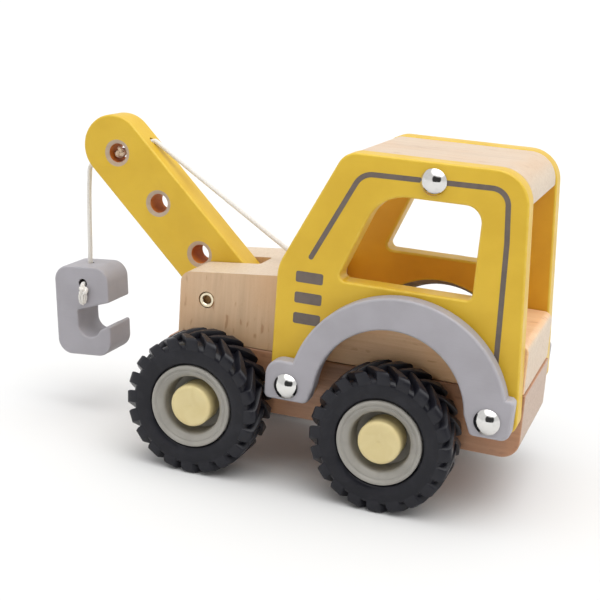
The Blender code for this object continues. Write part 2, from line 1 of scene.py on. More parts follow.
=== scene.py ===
"""The looks of the wooden toy crane truck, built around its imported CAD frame.

Shapes are drawn in millimetres, with x from the front axle, y from the truck's middle plane and z from the
ground. `placed` sets them into the frame, in metres. The truck drives towards -X.
"""
import math

import bmesh
import bpy
import numpy as np
from mathutils import Matrix, Vector


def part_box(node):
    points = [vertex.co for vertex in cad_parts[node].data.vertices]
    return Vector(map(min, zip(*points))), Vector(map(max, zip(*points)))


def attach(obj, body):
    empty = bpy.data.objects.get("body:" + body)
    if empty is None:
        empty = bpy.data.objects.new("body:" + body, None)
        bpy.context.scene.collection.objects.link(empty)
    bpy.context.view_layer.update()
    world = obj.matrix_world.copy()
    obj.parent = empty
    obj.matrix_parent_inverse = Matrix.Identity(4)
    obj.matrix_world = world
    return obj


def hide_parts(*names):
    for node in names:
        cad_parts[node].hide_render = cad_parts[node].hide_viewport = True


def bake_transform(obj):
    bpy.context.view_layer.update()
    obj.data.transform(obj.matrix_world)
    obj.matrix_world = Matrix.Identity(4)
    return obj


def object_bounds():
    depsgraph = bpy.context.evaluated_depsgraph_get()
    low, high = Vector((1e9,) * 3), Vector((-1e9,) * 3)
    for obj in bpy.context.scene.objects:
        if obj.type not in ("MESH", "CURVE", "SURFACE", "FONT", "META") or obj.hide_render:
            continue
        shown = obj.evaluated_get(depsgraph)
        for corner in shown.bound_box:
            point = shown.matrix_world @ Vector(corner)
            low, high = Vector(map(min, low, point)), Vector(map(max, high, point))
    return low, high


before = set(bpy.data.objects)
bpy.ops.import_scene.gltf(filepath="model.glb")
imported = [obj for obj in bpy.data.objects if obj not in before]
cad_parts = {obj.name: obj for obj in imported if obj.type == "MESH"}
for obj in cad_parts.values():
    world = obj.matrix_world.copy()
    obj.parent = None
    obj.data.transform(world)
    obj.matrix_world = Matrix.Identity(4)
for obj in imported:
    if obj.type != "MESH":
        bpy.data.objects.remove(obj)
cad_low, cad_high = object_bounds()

MM = 0.001
FRONT_AXLE = (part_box("axle_front")[0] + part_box("axle_front")[1]) / 2
TO_FRAME = Matrix.Translation((FRONT_AXLE.x, 0, 0)) @ Matrix.Scale(MM, 4)


def placed(x, y, z):
    """A point in the frame, in metres, from one in the drawing's millimetres."""
    return TO_FRAME @ Vector((x, y, z))


def span(node):
    """The box of a CAD node in the drawing's millimetres."""
    low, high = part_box(node)
    back = TO_FRAME.inverted()
    return back @ low, back @ high


# -------------------- camera and light

CAMERA_AZIMUTH = math.radians(18.95)
CAMERA_ELEVATION = math.radians(14.9)
CAMERA_ROLL = math.radians(4.12)
CAMERA_DISTANCE = 492.3
CAMERA_TARGET = (24.74, 0.0, 62.08)
CAMERA_LENS = 73.29


def make_camera():
    a, e = CAMERA_AZIMUTH, CAMERA_ELEVATION
    back = Vector((math.sin(a) * math.cos(e), -math.cos(a) * math.cos(e), math.sin(e)))
    right = (-back).cross(Vector((0, 0, 1))).normalized()
    up = right.cross(-back)
    turn = Matrix((right, up, back)).transposed() @ Matrix.Rotation(CAMERA_ROLL, 3, "Z")
    camera = bpy.data.objects.new("camera", bpy.data.cameras.new("camera"))
    bpy.context.scene.collection.objects.link(camera)
    camera.data.lens = CAMERA_LENS
    camera.data.sensor_width = 36.0
    camera.data.clip_start = 0.01
    camera.data.clip_end = 1000.0
    camera.matrix_world = Matrix.Translation(
        placed(*CAMERA_TARGET) + back * CAMERA_DISTANCE * MM
    ) @ turn.to_4x4()
    bpy.context.scene.camera = camera


KEY_LIGHT = (0.2018, -0.2018, 0.9584)  # towards the middle of the studio's broad overhead light
DARK_CORNER = (0.283, -0.896, 0.340)  # towards the dim side of the studio, behind the camera


def make_world():
    """A pale room under a broad overhead light, with one dim corner."""
    world = bpy.data.worlds.new("studio")
    world.use_nodes = True
    bpy.context.scene.world = world
    tree = world.node_tree
    towards = tree.nodes.new("ShaderNodeTexCoord").outputs["Generated"]

    def nearness(way):
        dot = add(tree, "ShaderNodeVectorMath", {0: towards, 1: way}, operation="DOT_PRODUCT")
        return dot.outputs["Value"]

    height = add(tree, "ShaderNodeSeparateXYZ", {0: towards}).outputs["Z"]
    walls = remap(tree, height, 0.04, 0.22, 1.02, 0.82)
    dimmed = product(tree, walls, remap(tree, nearness(DARK_CORNER), 0.83, 0.90, 1.0, 0.06))
    lamp = remap(tree, nearness(KEY_LIGHT), 0.70, 0.97, 0.0, 2.45)
    tree.links.new(summed(tree, dimmed, lamp), tree.nodes["Background"].inputs["Strength"])
    tree.nodes["Background"].inputs["Color"].default_value = (1.0, 1.0, 1.0, 1.0)


def make_studio():
    make_world()
    bpy.context.scene.view_settings.view_transform = "Standard"
    mesh = bpy.data.meshes.new("floor")
    bm = bmesh.new()
    bmesh.ops.create_circle(bm, cap_ends=True, segments=96, radius=300.0)
    bm.to_mesh(mesh)
    bm.free()
    floor = bpy.data.objects.new("floor", mesh)
    bpy.context.scene.collection.objects.link(floor)
    floor.location.z = cad_low.z - 0.0002
    floor.data.materials.append(floor_material())


# -------------------- shader helpers

def new_material(name, color, roughness, metallic=0.0):
    mat = bpy.data.materials.new(name)
    mat.use_nodes = True
    shader = mat.node_tree.nodes["Principled BSDF"]
    shader.inputs["Base Color"].default_value = (*color, 1.0)
    shader.inputs["Roughness"].default_value = roughness
    shader.inputs["Metallic"].default_value = metallic
    return mat, mat.node_tree, shader


def add(tree, kind, inputs, **properties):
    """A node with its properties set and its inputs either linked to a socket or given a value."""
    made = tree.nodes.new(kind)
    for name, value in properties.items():
        setattr(made, name, value)
    for name, value in inputs.items():
        if isinstance(value, bpy.types.NodeSocket):
            tree.links.new(value, made.inputs[name])
        else:
            made.inputs[name].default_value = value
    return made


def coordinates(tree, scale=(1, 1, 1), rotation=(0, 0, 0)):
    """Places on the piece at rest, in metres, turned and then stretched."""
    source = tree.nodes.new("ShaderNodeTexCoord").outputs["Object"]
    turned = add(tree, "ShaderNodeMapping", {"Vector": source, "Rotation": rotation}).outputs[0]
    return add(tree, "ShaderNodeMapping", {"Vector": turned, "Scale": scale}).outputs[0]


def noise(tree, vector, scale, detail=2.0, distortion=0.0):
    inputs = {"Vector": vector, "Scale": scale, "Detail": detail, "Distortion": distortion}
    return add(tree, "ShaderNodeTexNoise", inputs).outputs["Fac"]


def remap(tree, value, low, high, to_low=0.0, to_high=1.0):
    inputs = {"Value": value, "From Min": low, "From Max": high, "To Min": to_low, "To Max": to_high}
    return add(tree, "ShaderNodeMapRange", inputs, interpolation_type="SMOOTHSTEP").outputs[0]


def mixed(tree, factor, first, second, mode="MIX"):
    inputs = {"Fac": factor, "Color1": first, "Color2": second}
    return add(tree, "ShaderNodeMixRGB", inputs, blend_type=mode).outputs[0]


def product(tree, first, second):
    return add(tree, "ShaderNodeMath", {0: first, 1: second}, operation="MULTIPLY").outputs[0]


def summed(tree, first, second):
    return add(tree, "ShaderNodeMath", {0: first, 1: second}, operation="ADD").outputs[0]


def bump(tree, height, depth, strength=1.0):
    """A normal from a height between 0 and 1, depth metres high."""
    inputs = {"Height": height, "Distance": depth, "Strength": strength}
    return add(tree, "ShaderNodeBump", inputs).outputs[0]


def edge_wear_and_highlight(tree):
    """1 on a piece's rounded edges and 0 on its faces; materials lighten their colour there, partly as wear
    and partly as a painted highlight.
    """
    return add(tree, "ShaderNodeAttribute", {}, attribute_name="edge").outputs["Fac"]


def rgba(color):
    return (*color, 1.0)


# -------------------- materials

def floor_material():
    mat, tree, shader = new_material("floor", (0.74, 0.74, 0.74), 0.9)
    shader.inputs["Specular IOR Level"].default_value = 0.0
    soft = noise(tree, coordinates(tree), 3.0)
    color = mixed(tree, soft, rgba((0.735, 0.735, 0.735)), rgba((0.745, 0.745, 0.74)))
    tree.links.new(color, shader.inputs["Base Color"])
    return mat


def growth_rings(tree, rotation):
    """Soft bands around a pith beside the piece, seen as arcs on a sawn end and as lines along the grain."""
    place = coordinates(tree, (0.25, 1, 1), rotation)
    moved = add(tree, "ShaderNodeMapping", {"Vector": place, "Location": (0.0, 0.031, 0.052)}).outputs[0]
    inputs = {"Vector": moved, "Scale": 105.0, "Distortion": 2.2, "Detail": 2.0, "Detail Scale": 0.6}
    made = add(tree, "ShaderNodeTexWave", inputs, wave_type="RINGS", rings_direction="X")
    return made.outputs["Fac"]


def end_grain(tree, rotation):
    """1 on the faces that the grain runs into and 0 on the faces along it."""
    source = tree.nodes.new("ShaderNodeTexCoord").outputs["Normal"]
    turned = add(tree, "ShaderNodeMapping", {"Vector": source, "Rotation": rotation}).outputs[0]
    along = add(tree, "ShaderNodeSeparateXYZ", {0: turned}).outputs["X"]
    return remap(tree, product(tree, along, along), 0.35, 0.90)


def beech(name, light, dark, rotation=(0, 0, 0), fleck=0.5, sawn=(0.66, 0.54, 0.41)):
    """Lacquered beech, paler and greyer where it is sawn across its grain: partly the cut wood's own tone,
    partly painted light on the lit top and rear faces. The grain runs along X before the rotation.
    """
    mat, tree, shader = new_material(name, light, 0.42)
    streaks = noise(tree, coordinates(tree, (45, 900, 900), rotation), 1.0, 5.0, 0.5)
    broad = noise(tree, coordinates(tree, (9, 95, 95), rotation), 1.0, 3.0, 1.0)
    rings = growth_rings(tree, rotation)
    blotches = noise(tree, coordinates(tree), 45.0, 2.0)
    short = noise(tree, coordinates(tree, (150, 340, 340), rotation), 1.0, 1.5)
    pores = remap(tree, noise(tree, coordinates(tree, (800, 5200, 5200), rotation), 1.0, 1.0), 0.56, 0.70)
    color = mixed(tree, remap(tree, streaks, 0.30, 0.72, 0.0, 0.55), rgba(light), rgba(dark))
    color = mixed(tree, remap(tree, rings, 0.35, 0.95, 0.0, 0.30), color, rgba(dark))
    deep = tuple(c * 0.80 for c in dark)
    color = mixed(tree, remap(tree, broad, 0.52, 0.74, 0.0, 0.40), color, rgba(deep))
    warm = (light[0] * 0.98, light[1] * 0.88, light[2] * 0.78)
    color = mixed(tree, remap(tree, blotches, 0.40, 0.68, 0.0, 0.65), color, rgba(warm))
    marks = product(tree, remap(tree, short, 0.58, 0.68), remap(tree, rings, 0.50, 0.85))
    mark_color = (dark[0] * 0.74, dark[1] * 0.58, dark[2] * 0.48)
    color = mixed(tree, product(tree, marks, fleck), color, rgba(mark_color))
    color = mixed(tree, product(tree, pores, 0.10), color, rgba(mark_color))
    streaked = remap(tree, streaks, 0.30, 0.72, 0.0, 0.60)
    # The sawn-end tone, paler than the sides: partly the end grain's own colour, partly painted light on the
    # lit top and rear faces.
    cut = mixed(tree, streaked, rgba(sawn), rgba(tuple(c * 0.84 for c in sawn)))
    color = mixed(tree, product(tree, end_grain(tree, rotation), 0.88), color, cut)
    # Paler rounded edges: partly wear, partly a painted highlight.
    pale = tuple(min(1.0, c * 1.06 + 0.02) for c in light)
    color = mixed(tree, product(tree, edge_wear_and_highlight(tree), 0.30), color, rgba(pale))
    tree.links.new(color, shader.inputs["Base Color"])
    tree.links.new(remap(tree, streaks, 0.3, 0.7, 0.38, 0.50), shader.inputs["Roughness"])
    height = summed(tree, product(tree, streaks, 0.6), product(tree, pores, -0.4))
    tree.links.new(bump(tree, height, 0.00006), shader.inputs["Normal"])
    return mat


def paint(name, color, shade, worn_and_lit, roughness):
    """Satin paint sprayed on wood: the grain shows through a little, and the rounded edges are paler, partly
    thin worn paint and partly a painted highlight.
    """
    mat, tree, shader = new_material(name, color, roughness)
    clouds = noise(tree, coordinates(tree), 70.0, 4.0)
    grain = noise(tree, coordinates(tree, (60, 900, 900)), 1.0, 4.0, 0.4)
    peel = noise(tree, coordinates(tree), 2400.0, 2.0)
    tint = mixed(tree, remap(tree, clouds, 0.35, 0.70), rgba(color), rgba(shade))
    tint = mixed(tree, remap(tree, grain, 0.55, 0.75, 0.0, 0.22), tint, rgba(shade))
    # Paler rounded edges, uneven by noise: partly thin worn paint, partly a painted highlight.
    rubbed = noise(tree, coordinates(tree), 380.0, 3.0)
    thin_paint_and_highlight = product(tree, edge_wear_and_highlight(tree), remap(tree, rubbed, 0.30, 0.70, 0.15, 0.45))
    tint = mixed(tree, thin_paint_and_highlight, tint, rgba(worn_and_lit))
    tree.links.new(tint, shader.inputs["Base Color"])
    rough = remap(tree, clouds, 0.3, 0.7, roughness - 0.05, roughness + 0.06)
    tree.links.new(rough, shader.inputs["Roughness"])
    height = summed(tree, product(tree, grain, 0.7), product(tree, peel, 0.3))
    tree.links.new(bump(tree, height, 0.00007), shader.inputs["Normal"])
    return mat


def printed(name, color):
    """Screen-printed paint, a little uneven."""
    mat, tree, shader = new_material(name, color, 0.5)
    patch = noise(tree, coordinates(tree), 260.0, 4.0)
    darker = tuple(c * 0.82 for c in color)
    tint = mixed(tree, remap(tree, patch, 0.35, 0.68), rgba(color), rgba(darker))
    tree.links.new(tint, shader.inputs["Base Color"])
    peel = noise(tree, coordinates(tree), 2600.0, 2.0)
    tree.links.new(bump(tree, peel, 0.00003), shader.inputs["Normal"])
    return mat


def plastic(name, color, shade, roughness):
    """Moulded plastic with a faint flow pattern and a fine eroded texture."""
    mat, tree, shader = new_material(name, color, roughness)
    flow = noise(tree, coordinates(tree), 120.0, 3.0, 0.8)
    tint = mixed(tree, remap(tree, flow, 0.35, 0.70), rgba(color), rgba(shade))
    # Lighter rounded edges, most on the rim's outer lip: partly wear, partly a painted highlight.
    worn_and_lit = rgba(tuple(min(1, c * 1.15) for c in color))
    tint = mixed(tree, product(tree, edge_wear_and_highlight(tree), 0.25), tint, worn_and_lit)
    tree.links.new(tint, shader.inputs["Base Color"])
    fine = noise(tree, coordinates(tree), 3200.0, 2.0)
    sheen = remap(tree, flow, 0.3, 0.7, roughness - 0.04, roughness + 0.05)
    tree.links.new(sheen, shader.inputs["Roughness"])
    tree.links.new(bump(tree, fine, 0.00003), shader.inputs["Normal"])
    return mat


def rubber():
    """Black moulded rubber with dusty grey patches; its lug tops' edges are lighter, partly wear and partly a
    painted highlight.
    """
    mat, tree, shader = new_material("tyre_rubber", (0.012, 0.012, 0.015), 0.4)
    shader.inputs["Specular IOR Level"].default_value = 0.30
    dust = noise(tree, coordinates(tree), 150.0, 5.0, 0.5)
    dusty = remap(tree, dust, 0.42, 0.75)
    tint = mixed(tree, dusty, rgba((0.006, 0.006, 0.010)), rgba((0.013, 0.013, 0.018)))
    # Lighter lug top edges: partly wear, partly a painted highlight.
    tint = mixed(tree, product(tree, edge_wear_and_highlight(tree), 0.30), tint, rgba((0.022, 0.022, 0.028)))
    tree.links.new(tint, shader.inputs["Base Color"])
    tree.links.new(remap(tree, dust, 0.3, 0.7, 0.28, 0.40), shader.inputs["Roughness"])
    fine = noise(tree, coordinates(tree), 1900.0, 3.0)
    tree.links.new(bump(tree, fine, 0.00006), shader.inputs["Normal"])
    return mat


def metal(name, color, low, high):
    """Polished or drawn metal whose polish varies between two roughnesses."""
    mat, tree, shader = new_material(name, color, low, 1.0)
    smear = noise(tree, coordinates(tree), 420.0, 4.0, 0.6)
    tint = mixed(tree, remap(tree, smear, 0.4, 0.8), rgba(color), rgba(tuple(c * 0.9 for c in color)))
    tree.links.new(tint, shader.inputs["Base Color"])
    tree.links.new(remap(tree, smear, 0.35, 0.75, low, high), shader.inputs["Roughness"])
    return mat


def cotton(name, light, shade, soil):
    """Braided cotton: the braid is in the mesh, and the fibres are here."""
    mat, tree, shader = new_material(name, light, 0.9)
    shader.inputs["Sheen Weight"].default_value = 0.25
    fibre = noise(tree, coordinates(tree, (1, 1, 0.5)), 5200.0, 3.0, 0.8)
    patches = noise(tree, coordinates(tree), 240.0, 2.0)
    tint = mixed(tree, remap(tree, fibre, 0.3, 0.75), rgba(light), rgba(shade))
    tint = mixed(tree, remap(tree, patches, 0.5, 0.8, 0.0, 0.3), tint, rgba(soil))
    tree.links.new(tint, shader.inputs["Base Color"])
    tree.links.new(bump(tree, fibre, 0.00006), shader.inputs["Normal"])
    return mat


# -------------------- outlines

def arc(cx, cz, radius, start, end, count):
    """Sharp corners along an arc; angles in radians from +X."""
    angles = [start + (end - start) * i / count for i in range(count + 1)]
    return [(cx + radius * math.cos(a), cz + radius * math.sin(a), 0.0) for a in angles]


def rounded(corners, step=7.5):
    """Outline points from (x, z, fillet radius) corners; step is a fillet's chord in degrees."""
    points = []
    for i, (x, z, radius) in enumerate(corners):
        here = Vector((x, z))
        if radius <= 0:
            points.append(here)
            continue
        u = (Vector(corners[i - 1][:2]) - here).normalized()
        v = (Vector(corners[(i + 1) % len(corners)][:2]) - here).normalized()
        half = u.angle(v) / 2
        centre = here + (u + v).normalized() * (radius / math.sin(half))
        first = here + u * (radius / math.tan(half)) - centre
        turn = first.angle_signed(here + v * (radius / math.tan(half)) - centre)
        steps = max(2, round(abs(turn) / math.radians(step)))
        points += [centre + Matrix.Rotation(-turn * k / steps, 2) @ first for k in range(steps + 1)]
    return points


def circle(cx, cz, radius, count=48):
    angles = [2 * math.pi * i / count for i in range(count)]
    return [Vector((cx + radius * math.cos(a), cz + radius * math.sin(a))) for a in angles]


def round_edge(radius, steps=4):
    """The section of a rounded edge, from face to wall: (inset, depth, edge weight for wear and painted
    highlight).
    """
    section = []
    for k in range(steps + 1):
        a = math.pi / 2 * k / steps
        section.append((radius * (1 - math.sin(a)), radius * (1 - math.cos(a)), math.sin(2 * a)))
    return section


def flat_chamfer(width, depth):
    return [(width, 0.0, 0.0), (0.0, depth, 0.0)]


ALL_ONE = (0, 0)  # one material on an outline's edges and wall


def into_material(points, hole):
    """The outline turned the right way round, with the direction into the material at each point."""
    area = sum(a.x * b.y - b.x * a.y for a, b in zip(points, points[1:] + points[:1]))
    if (area < 0) != hole:
        points = points[::-1]
    inward = []
    for i, here in enumerate(points):
        a = (here - points[i - 1]).normalized()
        b = (points[(i + 1) % len(points)] - here).normalized()
        normal = Vector((-a.y - b.y, a.x + b.x)).normalized()
        inward.append(normal / max(0.5, normal.dot(Vector((-b.y, b.x)))))
    return points, inward


# -------------------- mesh helpers

def ring_faces(bm, first, second, slot=0):
    count = len(first)
    for i in range(count):
        corners = (first[i], first[(i + 1) % count], second[(i + 1) % count], second[i])
        bm.faces.new(corners).material_index = slot


def plate_mesh(outlines, low_y, high_y, face_slots=(0, 0)):
    """A flat piece between two y values, whose two faces can differ in material.

    Each outline is (points, edge section, (slot of its edges, slot of its wall)).
    """
    bm = bmesh.new()
    wear_and_highlight = bm.verts.layers.float.new("edge")
    faces = ([], [])
    for number, (outline, section, (edge_slot, wall_slot)) in enumerate(outlines):
        points, inward = into_material([Vector(p[:2]) for p in outline], number > 0)
        levels = [(inset, low_y + depth, worn_and_lit) for inset, depth, worn_and_lit in section]
        levels += [(inset, high_y - depth, worn_and_lit) for inset, depth, worn_and_lit in reversed(section)]
        rings = []
        for inset, y, worn_and_lit in levels:
            ring = [bm.verts.new((p.x + n.x * inset, y, p.y + n.y * inset)) for p, n in zip(points, inward)]
            for vert in ring:
                vert[wear_and_highlight] = worn_and_lit
            rings.append(ring)
        for k, (first, second) in enumerate(zip(rings, rings[1:]), 1):
            ring_faces(bm, first, second, wall_slot if k == len(section) else edge_slot)
        for border, ring in zip(faces, (rings[0], rings[-1])):
            border += [bm.edges.get((ring[i - 1], ring[i])) for i in range(len(ring))]
    for border, slot in zip(faces, face_slots):
        made = bmesh.ops.triangle_fill(bm, use_beauty=True, edges=border)
        for face in made["geom"]:
            if isinstance(face, bmesh.types.BMFace):
                face.material_index = slot
    bmesh.ops.recalc_face_normals(bm, faces=bm.faces)
    return bm


def lathe(bm, profile, segments, centre, side=1, closed=False, wear_and_highlight=None):
    """Turns (radius, y) points about a line along Y through centre = (x, z); side mirrors it in y."""
    layer = bm.verts.layers.float.get("edge") or bm.verts.layers.float.new("edge")
    rings = []
    for number, (radius, y) in enumerate(profile):
        count = 1 if radius == 0 else segments
        ring = []
        for i in range(count):
            a = 2 * math.pi * i / segments
            place = (centre[0] + radius * math.cos(a), side * y, centre[1] + radius * math.sin(a))
            ring.append(bm.verts.new(place))
            ring[-1][layer] = wear_and_highlight[number] if wear_and_highlight else 0.0
        rings.append(ring)
    pairs = list(zip(rings, rings[1:])) + ([(rings[-1], rings[0])] if closed else [])
    for first, second in pairs:
        if len(first) == 1 or len(second) == 1:
            tip, rim = (first[0], second) if len(first) == 1 else (second[0], first)
            for i in range(segments):
                bm.faces.new((tip, rim[i], rim[(i + 1) % segments]))
        else:
            ring_faces(bm, first, second)


def loft(bm, sections, wear_and_highlight):
    """A closed bar through sections of equal length, with flat ends."""
    layer = bm.verts.layers.float.get("edge") or bm.verts.layers.float.new("edge")
    rings = []
    for section in sections:
        ring = [bm.verts.new(place) for place in section]
        for vert, worn_and_lit in zip(ring, wear_and_highlight):
            vert[layer] = worn_and_lit
        rings.append(ring)
    for first, second in zip(rings, rings[1:]):
        ring_faces(bm, first, second)
    bm.faces.new(rings[0])
    bm.faces.new(rings[-1])


def make_piece(name, bm, materials, body, replaces=(), sharp=35.0, weighted=False):
    """Closes a drawn mesh into a piece in the frame that rides on a body and stands for CAD nodes."""
    bmesh.ops.recalc_face_normals(bm, faces=bm.faces)
    mesh = bpy.data.meshes.new(name)
    bm.to_mesh(mesh)
    bm.free()
    mesh.transform(TO_FRAME)
    obj = bpy.data.objects.new(name, mesh)
    bpy.context.scene.collection.objects.link(obj)
    for mat in materials if isinstance(materials, (list, tuple)) else [materials]:
        mesh.materials.append(mat)
    mesh.shade_smooth()
    mesh.set_sharp_from_angle(angle=math.radians(sharp))
    if weighted:
        modifier = obj.modifiers.new("even_shading", "WEIGHTED_NORMAL")
        modifier.keep_sharp = True
        modifier.weight = 90
    if body:
        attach(obj, body)
    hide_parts(*replaces)
    return obj


def cut_away(bm, cutters):
    """The drawn mesh with closed cutter meshes taken out of it."""
    objects = []
    for number, shape in enumerate([bm, *cutters]):
        mesh = bpy.data.meshes.new(f"shape_{number}")
        bmesh.ops.recalc_face_normals(shape, faces=shape.faces)
        shape.to_mesh(mesh)
        shape.free()
        objects.append(bpy.data.objects.new(f"shape_{number}", mesh))
        bpy.context.scene.collection.objects.link(objects[-1])
    for cutter in objects[1:]:
        modifier = objects[0].modifiers.new("cut", "BOOLEAN")
        modifier.operation = "DIFFERENCE"
        modifier.solver = "EXACT"
        modifier.object = cutter
    bpy.context.view_layer.update()
    evaluated = objects[0].evaluated_get(bpy.context.evaluated_depsgraph_get())
    result = bmesh.new()
    result.from_mesh(evaluated.to_mesh())
    evaluated.to_mesh_clear()
    for obj in objects:
        mesh = obj.data
        bpy.data.objects.remove(obj, do_unlink=True)
        bpy.data.meshes.remove(mesh)
    return result


def rod(start, end, radius, segments=32):
    bm = bmesh.new()
    axis = Vector(end) - Vector(start)
    bmesh.ops.create_cone(
        bm, cap_ends=True, segments=segments, radius1=radius, radius2=radius, depth=axis.length
    )
    turn = axis.to_track_quat("Z", "Y").to_matrix().to_4x4()
    middle = (Vector(start) + Vector(end)) / 2
    bmesh.ops.transform(bm, matrix=Matrix.Translation(middle) @ turn, verts=bm.verts)
    return bm


# -------------------- routes and cords

def smooth_route(through, spacing):
    """Points at an even spacing on a smooth curve through the given ones."""
    through = [Vector(p) for p in through]
    ends = [2 * through[0] - through[1]] + through + [2 * through[-1] - through[-2]]
    dense = []
    for i in range(1, len(ends) - 2):
        p0, p1, p2, p3 = ends[i - 1:i + 3]
        for k in range(24):
            t = k / 24
            bend = 2 * p0 - 5 * p1 + 4 * p2 - p3
            twist = 3 * p1 - p0 - 3 * p2 + p3
            dense.append((2 * p1 + (p2 - p0) * t + bend * t ** 2 + twist * t ** 3) / 2)
    dense.append(through[-1])
    lengths = np.array([(b - a).length for a, b in zip(dense, dense[1:])])
    along = np.concatenate([[0.0], np.cumsum(lengths)])
    at = np.linspace(0.0, along[-1], max(3, round(along[-1] / spacing) + 1))
    table = np.array(dense)
    return [Vector([np.interp(s, along, table[:, k]) for k in range(3)]) for s in at]


CORD_RADIUS = 1.0
BRAID_STEP = 0.22
BRAID_SIDES = 20
BRAID_STRANDS = 4
BRAID_RELIEF = 0.10


def braid_radius(angle, along, radius):
    """Strands that cross over each other both ways round the cord."""
    lead = along * BRAID_STRANDS / radius
    left = abs(math.cos((BRAID_STRANDS * angle + lead) / 2))
    right = abs(math.cos((BRAID_STRANDS * angle - lead) / 2))
    return radius * (1 - BRAID_RELIEF + BRAID_RELIEF * max(left, right) ** 2)


def tube(bm, route, radius, sides=BRAID_SIDES, braided=True, closed=False, taper=None):
    """A cord along a route, with round ends where it is open."""
    layer = bm.verts.layers.float.get("edge") or bm.verts.layers.float.new("edge")
    count = len(route)
    tangents = []
    for i in range(count):
        before = route[i - 1] if closed or i else route[0]
        after = route[(i + 1) % count] if closed or i < count - 1 else route[-1]
        tangents.append((after - before).normalized())
    side = Vector((0, 1, 0)).cross(tangents[0])
    side = (side if side.length > 0.1 else Vector((1, 0, 0))).normalized()
    rings = []
    along = 0.0
    for i in range(count):
        if i:
            side = tangents[i - 1].rotation_difference(tangents[i]) @ side
            along += (route[i] - route[i - 1]).length
        other = tangents[i].cross(side)
        width = radius * (taper(i / (count - 1)) if taper else 1.0)
        ring = []
        for k in range(sides):
            a = 2 * math.pi * k / sides
            r = braid_radius(a, along, width) if braided else width
            vert = bm.verts.new(route[i] + side * (r * math.cos(a)) + other * (r * math.sin(a)))
            vert[layer] = 0.0
            ring.append(vert)
        rings.append(ring)
    for first, second in zip(rings, rings[1:]):
        ring_faces(bm, first, second)
    if closed:
        ring_faces(bm, rings[-1], rings[0])
        return
    for ring, way in ((rings[0], -tangents[0]), (rings[-1], tangents[-1])):
        centre = sum((v.co for v in ring), Vector()) / sides
        inner = [bm.verts.new(centre + (v.co - centre) * 0.6 + way * radius * 0.4) for v in ring]
        ring_faces(bm, ring, inner)
        bm.faces.new(inner)


def knot_route(centre, size, turn, flatten=1.0):
    """A tight overhand knot's closed loop."""
    route = []
    for i in range(64):
        t = 2 * math.pi * i / 64
        place = Vector((
            (math.sin(t) + 2 * math.sin(2 * t)) / 3,
            -math.sin(3 * t) * 0.42 * flatten,
            (math.cos(t) - 2 * math.cos(2 * t)) / 3,
        ))
        route.append(Vector(centre) + turn @ (place * size))
    return route


# ---- the boom's own directions, and the cord's bore through it
PIVOT = (-4.5, 63.6)
BOOM_ANGLE = math.radians(136.4)
BOOM_HALF_WIDTH = 13.05
BOOM_END = 75.0
BOOM_HOLES = (18.1, 44.9, 71.7)
BOOM_HOLE_RADIUS = 3.9
PIVOT_BORE_RADIUS = 3.3
CORD_BORE_RADIUS = 1.5
CORD_BORE_LEAN = math.radians(21.5)


def along_boom(u, n=0.0):
    """A point (x, z) u along the boom from its pivot and n square to it, upwards."""
    c, s = math.cos(BOOM_ANGLE), math.sin(BOOM_ANGLE)
    return Vector((PIVOT[0] + u * c + n * s, PIVOT[1] + u * s - n * c))


def cord_bore(n):
    """A point on the axis of the cord's bore, at height n across the boom."""
    x, z = along_boom(BOOM_HOLES[-1] - n * math.tan(CORD_BORE_LEAN), n)
    return Vector((x, 0, z))


# ---- the hook's own directions
HOOK_CENTRE = (-69.0, 44.5)
HOOK_LEAN = math.radians(5.0)
HOOK_WIDTH = 25.6
HOOK_HEIGHT = 38.5
HOOK_HOLE = (0.7, 12.1)
HOOK_HOLE_RADIUS = 1.9
HOOK_TOP_HOLE_X = -0.3


def hook_point(x, z):
    c, s = math.cos(HOOK_LEAN), math.sin(HOOK_LEAN)
    return Vector((HOOK_CENTRE[0] + c * x - s * z, HOOK_CENTRE[1] + s * x + c * z))


def hook_place(x, z, y=0.0):
    place = hook_point(x, z)
    return Vector((place.x, y, place.y))


KNOT_SHIFT = Vector((0, -2.0, 0))  # the boom's knot sits towards the left end of its hole
ANCHOR = Vector((24.2, 0, 77.62))
ANCHOR_DEPTH = 12.0
DROP_X = -71.0
HANG_Z = 103.1
HOOK_HALF_THICKNESS = 9.05


def make_stay(cord):
    """The taut stretch from the bonnet to the boom, and on over the bore's rim to the knot."""
    lift = ANCHOR + Vector((0, 0, 0.6))
    lip = along_boom(65.22, 14.01)
    lip = Vector((lip.x, 0, lip.y))
    pull = (lip - lift).normalized()
    over = [along_boom(65.62, 13.79), along_boom(65.88, 13.42)]
    route = smooth_route([
        ANCHOR - Vector((0, 0, ANCHOR_DEPTH - 1.0)), ANCHOR - Vector((0, 0, 4.0)), lift, lift + pull * 3.0,
        lift.lerp(lip, 0.35), lift.lerp(lip, 0.70), lip - pull * 3.0, lip,
        *[Vector((p.x, 0, p.y)) for p in over],
        cord_bore(10.6), cord_bore(6.0), cord_bore(3.4), cord_bore(1.2) + KNOT_SHIFT,
    ], BRAID_STEP)
    bm = bmesh.new()
    tube(bm, route, CORD_RADIUS)
    piece = make_piece(
        "stay_cord_braid", bm, cord, None, ["stay_cord", "boom_cord_upper"], sharp=60
    )
    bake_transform(piece)


DROP_STRAIGHT = 1.5  # the drop's last stretch lies on the hook's twist axis
DROP_SINK = 0.2  # and ends this far into the hook's bore
DROP_BOW = ((-72.3, 103.1), (-72.4, 95.0), (-72.0, 85.0), (-71.3, 72.0))  # the drop hangs in a slight bow


